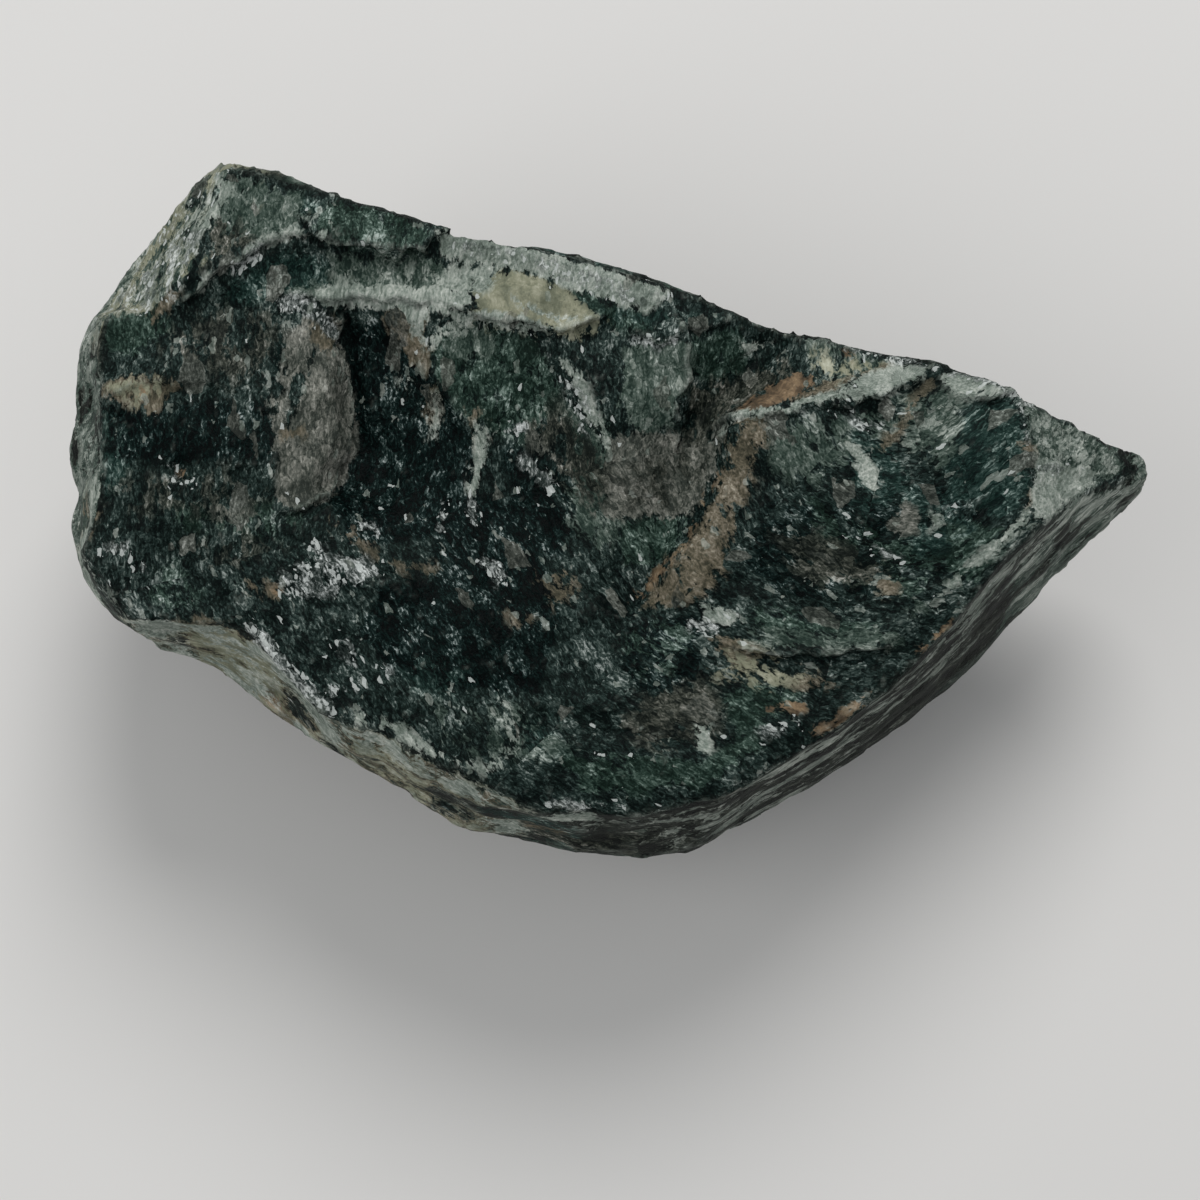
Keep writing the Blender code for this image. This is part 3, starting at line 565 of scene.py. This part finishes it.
        streak(0.8, 0.7, (7.7, -21.6), (7.8, -23.2)),
        patch(0.4, (28.4, 8.0), (30.6, 7.0), (30.4, 3.8), (27.7, 2.1), (26.0, 0.3),
              (24.6, 1.8), (26.0, 4.4)),
        streak(0.6, 0.45, (-15.9, 8.7), (-15.7, 6.8), (-16.3, 5.2)),
        streak(0.9, 0.55, (-11.8, 5.8), (-11.7, 3.8), (-12.3, 0.6)),
        patch(0.6, (-19.3, 11.2), (-17.3, 11.5), (-16.9, 10.5), (-18.1, 9.6), (-19.1, 9.9)),
        streak(0.5, 0.6, (-46.4, -6.3), (-45.3, -8.7), (-42.9, -11.0), (-41.0, -11.9)),
        streak(0.85, 0.9, (-47.6, 16.0), (-46.4, 9.0), (-46.2, 2.0), (-46.4, -3.0)),
        patch(0.6, (-24.5, -19.6), (-19.3, -20.4), (-16.1, -22.4), (-11.3, -24.6),
              (-8.8, -22.6), (-10.6, -19.6), (-8.2, -22.9), (-9.2, -26.0), (-15.8, -24.6),
              (-24.5, -21.0)),
        patch(0.7, (27.2, -3.2), (28.5, -2.8), (28.9, -4.1), (27.6, -4.5)),
        streak(0.8, 0.7, (-35.8, 29.6), (-34.6, 27.0), (-36.4, 23.6)),
        patch(0.8, (20.4, 3.4), (22.6, 2.4), (23.6, -0.8), (22.6, -1.4), (21.4, 0.4)),
        streak(0.7, 0.25, (-9.8, -19.0), (-8.2, -22.1), (-10.6, -24.7)),
    ]),
    # quartz crushed white
    "white": (1.0, [
        patch(0.42, (-36.4, 23.4), (-35.6, 25.0), (-36.8, 21.1), (-37.9, 17.9), (-39.3, 16.8),
              (-41.8, 17.1), (-44.6, 17.8), (-42.4, 21.3), (-39.7, 23.8)),
        streak(0.7, 0.4, (-33.6, 19.5), (-32.0, 20.6), (-31.4, 21.2)),
        streak(0.85, 0.7, (-29.4, 16.6), (-27.6, 16.6), (-26.0, 15.4), (-25.0, 14.3)),
        patch(0.42, (-15.3, 22.4), (-10.0, 22.0), (-4.7, 20.4), (0.7, 18.6), (5.0, 17.2),
              (2.4, 16.2), (-2.0, 17.2), (-6.5, 19.3), (-10.0, 20.9), (-14.5, 20.9)),
        patch(0.45, (-7.0, 13.2), (-4.9, 12.0), (-2.9, 9.0), (-1.3, 6.0), (-1.3, 4.5),
              (-2.7, 4.7), (-4.1, 7.9), (-5.6, 10.5)),
        streak(0.8, 0.35, (2.0, 13.1), (4.2, 12.5), (5.6, 12.9)),
        patch(0.62, (-29.6, -8.0), (-26.6, -6.6), (-21.6, -6.2), (-20.0, -8.0), (-24.0, -9.8),
              (-28.6, -10.4)),
        streak(0.7, 0.5, (-26.0, -5.0), (-25.4, -7.2)),
        streak(0.75, 0.4, (-21.9, -3.1), (-20.7, -3.9)),
        streak(0.9, 0.25, (-15.1, -0.9), (-15.0, -2.0), (-15.4, -3.4)),
        streak(0.9, 0.3, (-12.4, -1.0), (-12.1, -2.6)),
        streak(0.8, 0.4, (-11.3, -6.5), (-10.3, -6.9), (-9.7, -8.7)),
        streak(1.1, 0.4, (-7.9, 2.8), (-7.0, 2.0), (-6.0, 1.1), (-5.3, 0.2)),
        streak(0.9, 0.35, (-9.3, 5.6), (-8.1, 5.8)),
        streak(0.5, 0.5, (-44.3, -5.6), (-42.6, -5.6), (-41.2, -7.0), (-41.2, -8.8)),
        streak(1.3, 0.5, (-31.7, -12.7), (-30.0, -14.2), (-28.6, -16.2), (-26.3, -18.4),
               (-24.3, -20.0)),
        streak(0.45, 0.8, (-24.0, -14.0), (-20.0, -17.0), (-24.0, -18.0)),
        streak(0.8, 0.25, (-5.5, -28.0), (-2.8, -28.3), (0.7, -28.2)),
        streak(0.6, 0.4, (-39.2, 2.0), (-38.6, 0.4), (-37.0, 0.0)),
        streak(0.6, 0.4, (19.8, -3.6), (21.5, -5.3), (25.0, -7.1)),
        streak(0.7, 0.5, (6.7, -12.4), (8.9, -12.9)),
        streak(0.5, 0.4, (36.2, 6.8), (36.6, 4.6), (36.4, 3.9)),
        streak(0.6, 0.7, (19.8, 13.0), (26.0, 11.2), (33.0, 9.4), (37.0, 8.0)),
        streak(0.6, 0.5, (13.0, -22.0), (15.6, -21.4)),
        streak(0.5, 0.5, (37.4, 1.4), (41.0, 2.6)),
        streak(0.6, 0.5, (20.6, 6.4), (21.6, 4.6), (23.4, 5.0)),
    ]),
}


def strength(marks, blur, plan):
    """How far inside a mineral's marks each place is: on an outline, half of its cover."""
    inside = np.zeros(len(plan))
    for cover, half_width, line in marks:
        depth = half_width - np.abs(beside(line, plan)) if half_width else within(line, plan)
        inside = np.maximum(inside, cover * np.clip(0.5 + depth / blur, 0.0, 1.0))
    return inside


def keep(name, values):
    """Store one value for each point of the skin, for the material to read."""
    kind = "FLOAT" if values.ndim == 1 else "FLOAT_VECTOR"
    attribute = skin.attributes.new(name, kind, "POINT")
    field = "value" if values.ndim == 1 else "vector"
    attribute.data.foreach_set(field, values.ravel().astype(np.float32))


skin.vertices.foreach_set("co", (places * MILLIMETRE).ravel())
skin.update()
skin.shade_smooth()
ways = spread(facing(), 2)
# How strongly each mineral shows at each point of the skin
share = {mineral: strength(marks, blur, places[:, :2]) * top
         for mineral, (blur, marks) in MINERALS.items()}

# The sides: the front right face is one smooth dark break with grey streaks along it, the left end
# is upright and pale, the front left is cream and glassy with a chip of amber, and the rest is
# mixed as the top is. Each fades out downwards and to its sides in rags. Part of the sides'
# darkness is painted shade, carried by the side tone of the material.
CHIP = [(-38.0, -11.6), (-34.1, -12.0), (-31.6, -13.1), (-30.2, -14.7), (-29.4, -16.8),
        (-25.8, -19.8), (-28.4, -21.0), (-33.1, -17.0), (-38.0, -14.0)]
AMBER = [(-32.5, -14.9), (-30.3, -15.6), (-28.0, -18.2), (-29.0, -19.6), (-33.0, -16.0)]
FRONT_LEFT = [(-50.0, -8.0), (-30.0, -8.0), (-14.0, -20.0), (-10.0, -32.0), (-50.0, -30.0)]
flat = places[:, :2]
side = 1.0 - top
rags = fractal(places, size=7.0, layers=4, seed=97.0)


def past(values, low, high, ragged=0.0):
    """From 0 at the low value to 1 at the high one, with a border as ragged as is given."""
    return smooth_step(values + ragged * rags, low, high)


# Each part is told by the way it faces, or by how far it lies along an axis or inside an outline,
# in millimetres: first where it begins, then where it is full
upper = past(places[:, 2], 12.0, 24.0, ragged=8.0)
front_right = past(ways @ (0.77, -0.64, 0.0), 0.45, 0.75, ragged=0.3)
left_end = past(ways @ (-1.0, 0.0, 0.0), 0.50, 0.80, ragged=0.3)
front_left = (past(ways @ (-0.60, -0.80, 0.0), 0.25, 0.50, ragged=0.3)
              * past(within(FRONT_LEFT, flat), -6.0, 3.0, ragged=12.0) * upper)
bevel = (past(ways @ (-0.8, 0.6, 0.0), 0.10, 0.45) * past(flat[:, 1], 12.0, 16.0)
         * past(-flat[:, 0], 29.0, 36.0, ragged=10.0) * upper)
chip = past(within(CHIP, flat), -0.5, 0.5) * side * upper
amber = past(within(AMBER, flat), -0.6, 0.6) * side * upper
# A pale band along the top edge of the side faces: partly pale stone, partly a painted highlight
# where the edge turns up towards the light
near_rim = past(within(RIM, flat), -2.4, -0.2) * side
tip = past(flat[:, 0], 31.0, 42.0, ragged=12.0) * past(flat[:, 1], -8.0, -3.0, ragged=6.0)
mixed = side * (1.0 - front_right) * (1.0 - 0.8 * left_end) * (1.0 - front_left)

# The mixed rock of the back and the underside lies in lumps of each mineral, a little flattened.
# Each has the seed of its noise and how rare it is.
LUMP_BORDER = 0.45
LUMP_COVER = 0.8
side_kinds = {"glass_and_shadow": (31.0, 0.10), "green": (41.0, 0.05), "teal": (53.0, 0.0),
              "brown": (67.0, 0.05), "grey": (73.0, 0.08), "tan": (89.0, 0.42)}
flattened = places * (1.0, 1.0, 1.6)
for mineral, (seed, rare) in side_kinds.items():
    lumps = past(fractal(flattened, size=12.0, layers=5, seed=seed), rare, rare + LUMP_BORDER)
    share[mineral] = np.maximum(share[mineral], LUMP_COVER * lumps * mixed)

# The parts of the sides that are told apart have shares of their own
side_marks = {
    "grey": (side * (left_end * (0.3 + 0.6 * upper) + 0.28 * front_right + 1.1 * front_left
                     + 0.8 * tip * upper) + bevel),
    "tan": 0.9 * front_left * side + 0.9 * chip,
    "olive": 0.60 * front_left * side + 0.7 * chip + 0.6 * bevel,
    "rust": 0.9 * amber,
    # pale: on the two front faces the band along the rim is partly a painted highlight
    "pale": (side * (0.38 * left_end * upper + 0.15 * front_left + 0.36 * tip * upper
                     + 0.30 * bevel) + near_rim * (0.50 * front_left + 0.45 * front_right)),
    "white": 0.30 * bevel,
}
for mineral, cover in side_marks.items():
    share[mineral] = np.maximum(share[mineral], cover)
for mineral, values in share.items():
    keep(mineral, values)
distance, arc = from_leaf_centre(places[:, :2])
keep("grain", np.stack([distance, arc, places[:, 2]], axis=1))
keep("round_leaves", arc / LEAF_RADIUS)
keep("top", top)
keep("left_end", left_end * side)
keep("edgewise", np.maximum(front_right * side, tip))
keep("glassy", np.maximum(top, front_left))
keep("edge_wear", edge_wear)
keep("painted_crevice_shade", painted_crevice_shade)

# Broken green aventurine: quartz, IOR 1.54, neither polished nor weathered. Mica flakes and
# crushed grains under a thin clear surface give the eye fine soft grains and pale flecks on a
# nearly black green, with hardly any shine. The glints of the mica are painted into the pale
# flecks.
material = bpy.data.materials.new("broken green aventurine")
material.use_nodes = True
tree = material.node_tree
shader = tree.nodes["Principled BSDF"]


def colour(text):
    """An sRGB hex colour as linear light."""
    parts = [int(text[at:at + 2], 16) / 255.0 for at in (1, 3, 5)]
    linear = [part / 12.92 if part <= 0.04045 else ((part + 0.055) / 1.055) ** 2.4
              for part in parts]
    return (*linear, 1.0)


def add(kind, links=None, stops=None, **settings):
    """Add a node with its settings, then what goes into its sockets: values or other sockets."""
    node = tree.nodes.new("ShaderNode" + kind)
    for name, value in settings.items():
        setattr(node, name, value)
    for name, value in (links or {}).items():
        if isinstance(value, bpy.types.NodeSocket):
            tree.links.new(value, node.inputs[name])
        else:
            node.inputs[name].default_value = value
    for number, (position, text) in enumerate(stops or []):
        elements = node.color_ramp.elements
        stop = elements[number] if number < 2 else elements.new(position)
        stop.position = position
        stop.color = colour(text)
    return node


def read(name):
    """What is kept on the skin under a name."""
    return add("Attribute", attribute_name=name).outputs


in_metres = add("TexCoord").outputs["Object"]
in_place = add("VectorMath", {0: in_metres, "Scale": 1.0 / MILLIMETRE}, operation="SCALE"
               ).outputs[0]
top_share = read("top")["Fac"]

# The grains are drawn out along a run, and bent a little by the same small swirls, so that none
# is straight. On top the run follows the arcs of the leaves, in steps, so that nothing shears. It
# goes along the edge on the right flank and the tip, and upright on the left end.
SWIRL = 0.45
SWIRL_SIZE = 0.8
TURN_STEP = math.radians(30.0)
EDGE_TURN = math.radians(41.0)
# How much the grains are drawn out along the run, across it and upwards, and for the arcs outwards
# from their centre, round it and upwards
ALONG_LEAVES = (2.0, 1.0, 1.0)
ALONG_EDGE = (6.0, 1.0, 1.3)
ALONG_LAYERS = (2.5, 2.5, 1.0)
UPRIGHT = (1.0, 1.0, 2.9)
ALONG_ARCS = (1.0, 1.9, 1.4)
swirl = add("TexNoise", {"Vector": in_place, "Scale": 1.0 / SWIRL_SIZE, "Detail": 1.0}
            ).outputs["Color"]
swirl = add("VectorMath", {0: swirl, 1: (0.5, 0.5, 0.5)}, operation="SUBTRACT").outputs[0]


def drawn(start, turn, stretch):
    """Places turned and drawn out along each axis, then bent by the swirls."""
    turned = add("Mapping", {"Vector": start, "Rotation": (0.0, 0.0, turn), "Scale": stretch},
                 vector_type="TEXTURE").outputs[0]
    return add("VectorMath", {0: swirl, 1: (SWIRL,) * 3, 2: turned}, operation="MULTIPLY_ADD"
               ).outputs[0]


def chosen_where(name, limit, first, second):
    """The second run where an attribute is over a limit, and the first elsewhere."""
    over = add("Math", {0: read(name)["Fac"], 1: limit}, operation="GREATER_THAN").outputs[0]
    return add("MixRGB", {"Fac": over, "Color1": first, "Color2": second}).outputs["Color"]


leaves = drawn(in_place, -3.0 * TURN_STEP, ALONG_LEAVES)
for step in (-2.0, -1.0, 0.0, 1.0):
    leaves = chosen_where("round_leaves", (step - 0.5) * TURN_STEP, leaves,
                          drawn(in_place, step * TURN_STEP, ALONG_LEAVES))
edgewise = drawn(in_place, EDGE_TURN, ALONG_EDGE)
layered = drawn(in_place, 0.0, ALONG_LAYERS)
upright = drawn(in_place, 0.0, UPRIGHT)
arcs = drawn(read("grain")["Vector"], 0.0, ALONG_ARCS)
run = chosen_where("left_end", 0.5, layered, upright)
run = chosen_where("glassy", 0.5, run, leaves)
run = chosen_where("edgewise", 0.5, run, edgewise)
fibre_run = chosen_where("edgewise", 0.5, arcs, edgewise)

# Soft grains, fibres, clouds and rags, and shards with sharp edges in two sizes, in millimetres
GRAIN_SIZE = 0.22
FIBRE_SIZE = 0.28
CLOUD_SIZE = 2.6
RAG_SIZE = 1.5
SHARD_SIZES = (0.45, 1.5)
grains = add("TexNoise", {"Vector": run, "Scale": 1.0 / GRAIN_SIZE, "Detail": 2.0,
                          "Roughness": 0.65}).outputs["Fac"]
fibres = add("TexNoise", {"Vector": fibre_run, "Scale": 1.0 / FIBRE_SIZE, "Detail": 2.0,
                          "Roughness": 0.60}).outputs["Fac"]
clouds = add("TexNoise", {"Vector": in_place, "Scale": 1.0 / CLOUD_SIZE, "Detail": 3.0,
                          "Roughness": 0.60}).outputs["Fac"]
rag = add("TexNoise", {"Vector": run, "Scale": 1.0 / RAG_SIZE, "Detail": 5.0,
                       "Roughness": 0.68}).outputs["Fac"]
shards = []
for size in SHARD_SIZES:
    cells = add("TexVoronoi", {"Vector": run, "Scale": 1.0 / size})
    chances = add("SeparateXYZ", {0: cells.outputs["Color"]}).outputs
    shards += [chances[0], chances[1]]
small_shard, small_chance, large_shard, large_chance = shards


def summed(start, *parts):
    """Add up sources that are 0.5 on average, each with its weight, around a start value."""
    total = start
    for source, weight in parts:
        source = add("Math", {0: source, 1: 0.5}, operation="SUBTRACT").outputs[0]
        total = add("Math", {0: source, 1: weight, 2: total}, operation="MULTIPLY_ADD").outputs[0]
    return total


# Each tone runs from 0 in the dark gaps to 1 in the brightest grains, most of it near the middle:
# grainy in crushed rock, fibrous where mica leaves show, and milky in smooth quartz and stains
grainy = summed(0.5, (grains, 1.3), (small_shard, 0.30), (large_shard, 0.22), (clouds, 0.8))
fibrous = summed(0.5, (fibres, 1.0), (grains, 0.5), (large_shard, 0.18), (rag, 0.6), (clouds, 0.6))
milky = summed(0.5, (rag, 1.2), (clouds, 0.9), (grains, 0.4), (small_shard, 0.08))

# Each mineral has its own run of colours, from its darkest gaps to its brightest grains. The
# stops are where about 5, 30, 60, 85, 97 and 100 in a hundred places of its face are darker.
STOPS = (0.24, 0.42, 0.54, 0.67, 0.80, 1.0)
TONES = {
    "rock": (grainy, ("#030a09", "#0e1916", "#1b2825", "#303d39", "#525d58", "#9aa19c")),
    # The side tone is the flanks' own grey-olive, darkened as painted shade for the shade that
    # they lie in
    "side": (grainy, ("#080d0b", "#141815", "#222622", "#333732", "#4a4e48", "#70746d")),
    "glass_and_shadow": (grainy, ("#000303", "#010a09", "#061513", "#162523", "#3d4b48", "#a6aeab")),
    "green": (grainy, ("#0e1c16", "#1c2c25", "#2d3e36", "#43544b", "#697970", "#abb7b0")),
    "teal": (grainy, ("#081614", "#122420", "#1e322d", "#334540", "#596a64", "#9fada6")),
    "grey": (grainy, ("#202e28", "#35433b", "#47544c", "#5b665e", "#79827a", "#adb4ac")),
    "dusty": (grainy, ("#2f342f", "#484c45", "#5c5e57", "#6f7068", "#83837b", "#a9a9a0")),
    "brown": (grainy, ("#101512", "#232823", "#363932", "#4a4d45", "#66665e", "#a2a098")),
    "tan": (fibrous, ("#36352b", "#4b483b", "#5f594a", "#736c5e", "#8b8474", "#b8b1a2")),
    "olive": (milky, ("#5f6352", "#717462", "#83846f", "#949480", "#a8a894", "#c4c5b2")),
    "rust": (milky, ("#40392e", "#594b3b", "#705f4b", "#867259", "#9c8b75", "#bbab97")),
    "pale": (fibrous, ("#586259", "#747e75", "#8b938a", "#a0a69d", "#b7bcb3", "#d8dcd4")),
    "white": (grainy, ("#222b28", "#4a514e", "#757a77", "#a1a5a2", "#cacecb", "#e8eae8")),
}


def toned(name):
    """A mineral's colour, light and dark as its own tone says."""
    tone, colours = TONES[name]
    return add("ValToRGB", {"Fac": tone}, stops=zip(STOPS, colours)).outputs["Color"]


# Each mark's edge is frayed by the swirled noise, and breaks off along the shards. What a mineral
# and the fraying come to says where its cover starts and is full, and a faint mineral covers less.
COVER_STARTS = 0.38
COVER_FULL = 0.66
NOT_FAINT = 0.6
frayed = summed(0.0, (rag, 3.0), (large_chance, 0.50), (small_chance, 0.30), (grains, 0.7))
# The sides take the side tone, darkened partly as painted shade, and the top takes the rock tone
surface = add("MixRGB", {"Fac": top_share, "Color1": toned("side"), "Color2": toned("rock")}
              ).outputs["Color"]
for mineral in MINERALS:
    strong = read(mineral)["Fac"]
    fraying = add("Math", {0: strong, 1: frayed}, operation="ADD").outputs[0]
    cover = add("MapRange", {"Value": fraying, "From Min": COVER_STARTS, "From Max": COVER_FULL},
                interpolation_type="SMOOTHSTEP").outputs[0]
    reach = add("MapRange", {"Value": strong, "From Max": NOT_FAINT}).outputs[0]
    cover = add("Math", {0: cover, 1: reach}, operation="MULTIPLY").outputs[0]
    surface = add("MixRGB", {"Fac": cover, "Color1": surface, "Color2": toned(mineral)}
                  ).outputs["Color"]

# Pale where edges are bruised, and painted shade down in the cracks: near black is mixed in where
# the skin lies back, where shade falls
MOST_BRUISED = 0.65
MOST_SHADED = 0.5
bruised = add("MapRange", {"Value": rag, "From Min": 0.42, "From Max": 0.56}).outputs[0]
bruised = add("Math", {0: read("edge_wear")["Fac"], 1: bruised}, operation="MULTIPLY").outputs[0]
bruised = add("Math", {0: bruised, 1: MOST_BRUISED}, operation="MULTIPLY").outputs[0]
surface = add("MixRGB", {"Fac": bruised, "Color1": surface, "Color2": toned("pale")}
              ).outputs["Color"]
crevice_shade_amount = add("Math", {0: read("painted_crevice_shade")["Fac"], 1: MOST_SHADED}, operation="MULTIPLY").outputs[0]
surface = add("MixRGB", {"Fac": crevice_shade_amount, "Color1": surface, "Color2": colour("#020605")}
              ).outputs["Color"]

# Loose shards and flecks: a few whole ones are pale, closer together where the rock is paler. The
# pale ones stand partly for pale grains and partly for painted glints of mica. Each kind has its
# chance, how many are pale, how fully, and their colour.
FLECK_SIZE = 0.30
flecks = add("TexVoronoi", {"Vector": run, "Scale": 1.0 / FLECK_SIZE})
fleck_chance = add("SeparateXYZ", {0: flecks.outputs["Color"]}).outputs[0]
near_white = add("Math", {0: read("white")["Fac"], 1: 0.20, 2: 0.002}, operation="MULTIPLY_ADD"
                 ).outputs[0]
in_clouds = add("MapRange", {"Value": clouds, "From Min": 0.48, "From Max": 0.64,
                             "To Min": 0.003, "To Max": 0.06}).outputs[0]
for chance, rare, cover, look in (
        (large_chance, 0.05, 0.55, toned("dusty")),
        (small_chance, in_clouds, 0.45, toned("pale")),
        (fleck_chance, near_white, 0.75, colour("#bcc1bd"))):
    rare = add("Math", {0: top_share, 1: rare}, operation="MULTIPLY").outputs[0]
    chosen = add("Math", {0: chance, 1: rare}, operation="LESS_THAN").outputs[0]
    chosen = add("Math", {0: chosen, 1: cover}, operation="MULTIPLY").outputs[0]
    surface = add("MixRGB", {"Fac": chosen, "Color1": surface, "Color2": look}).outputs["Color"]

# Fine grit breaks up what shine there is, and crushed grains are duller than clear quartz
GRIT_SIZE = 0.30
GRIT_HEIGHT = 0.20
height = add("TexNoise", {"Vector": in_place, "Scale": 1.0 / GRIT_SIZE, "Detail": 2.0,
                          "Roughness": 0.6}).outputs["Fac"]
bump = add("Bump", {"Height": height, "Strength": 0.6, "Distance": GRIT_HEIGHT * MILLIMETRE}
           ).outputs["Normal"]
rough = add("MapRange", {"Value": grainy, "From Min": 0.3, "From Max": 0.8, "To Min": 0.50,
                         "To Max": 0.72}).outputs[0]
tree.links.new(surface, shader.inputs["Base Color"])
tree.links.new(rough, shader.inputs["Roughness"])
tree.links.new(bump, shader.inputs["Normal"])
shader.inputs["IOR"].default_value = 1.54
shader.inputs["Specular IOR Level"].default_value = 0.04
stone.data.materials.clear()
stone.data.materials.append(material)

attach(stone, "root")
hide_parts("rough_stone")

# The floor: a plain pale sheet, matt, so that nothing takes the eye from the stone. It reaches
# this many metres to each side.
FLOOR_REACH = 1.5
floor_block = bmesh.new()
bmesh.ops.create_grid(floor_block, x_segments=1, y_segments=1, size=FLOOR_REACH)
floor = bpy.data.objects.new("floor", mesh_of(floor_block, "floor"))
bpy.context.scene.collection.objects.link(floor)
paper = bpy.data.materials.new("matt pale paper")
paper.use_nodes = True
paper_shader = paper.node_tree.nodes["Principled BSDF"]
paper_shader.inputs["Base Color"].default_value = colour("#dcdad7")
paper_shader.inputs["Roughness"].default_value = 0.9
floor.data.materials.append(paper)

# The light: soft, from above and behind, as from a window sky, with the shadow falling towards
# the viewer.
MIDDLE_OF_STONE = Vector((0.0, 0.0, 0.02))


def lamp(name, place, size, power):
    """A round lamp that looks at the middle of the stone."""
    light = bpy.data.lights.new(name, "AREA")
    light.shape = "DISK"
    light.size = size
    light.energy = power
    thing = bpy.data.objects.new(name, light)
    thing.location = place
    towards = MIDDLE_OF_STONE - Vector(place)
    thing.rotation_euler = towards.to_track_quat("-Z", "Y").to_euler()
    bpy.context.scene.collection.objects.link(thing)


lamp("window", place=(0.10, 0.55, 0.70), size=0.5, power=4.5)
lamp("room", place=(-0.60, -0.15, 0.50), size=0.6, power=1.6)
world = bpy.data.worlds.new("soft room")
world.use_nodes = True
sky = world.node_tree.nodes["Background"]
sky.inputs["Color"].default_value = colour("#e4e7ea")
sky.inputs["Strength"].default_value = 0.50
bpy.context.scene.world = world
bpy.context.scene.view_settings.view_transform = "Standard"

# The camera: held above the stone and a little in front of it, as a phone is held.
VIEW_HEIGHT = math.radians(76.0)
VIEW_DISTANCE = 0.270
AIM = Vector((-0.00112, -0.00191, 0.0))
camera_data = bpy.data.cameras.new("camera")
camera_data.sensor_width = 36.0
camera_data.lens = 81.0
camera_data.clip_start = 0.01
camera = bpy.data.objects.new("camera", camera_data)
back = Vector((0.0, -math.cos(VIEW_HEIGHT), math.sin(VIEW_HEIGHT)))
camera.location = AIM + back * VIEW_DISTANCE
camera.rotation_euler = back.to_track_quat("Z", "Y").to_euler()
bpy.context.scene.collection.objects.link(camera)
bpy.context.scene.camera = camera
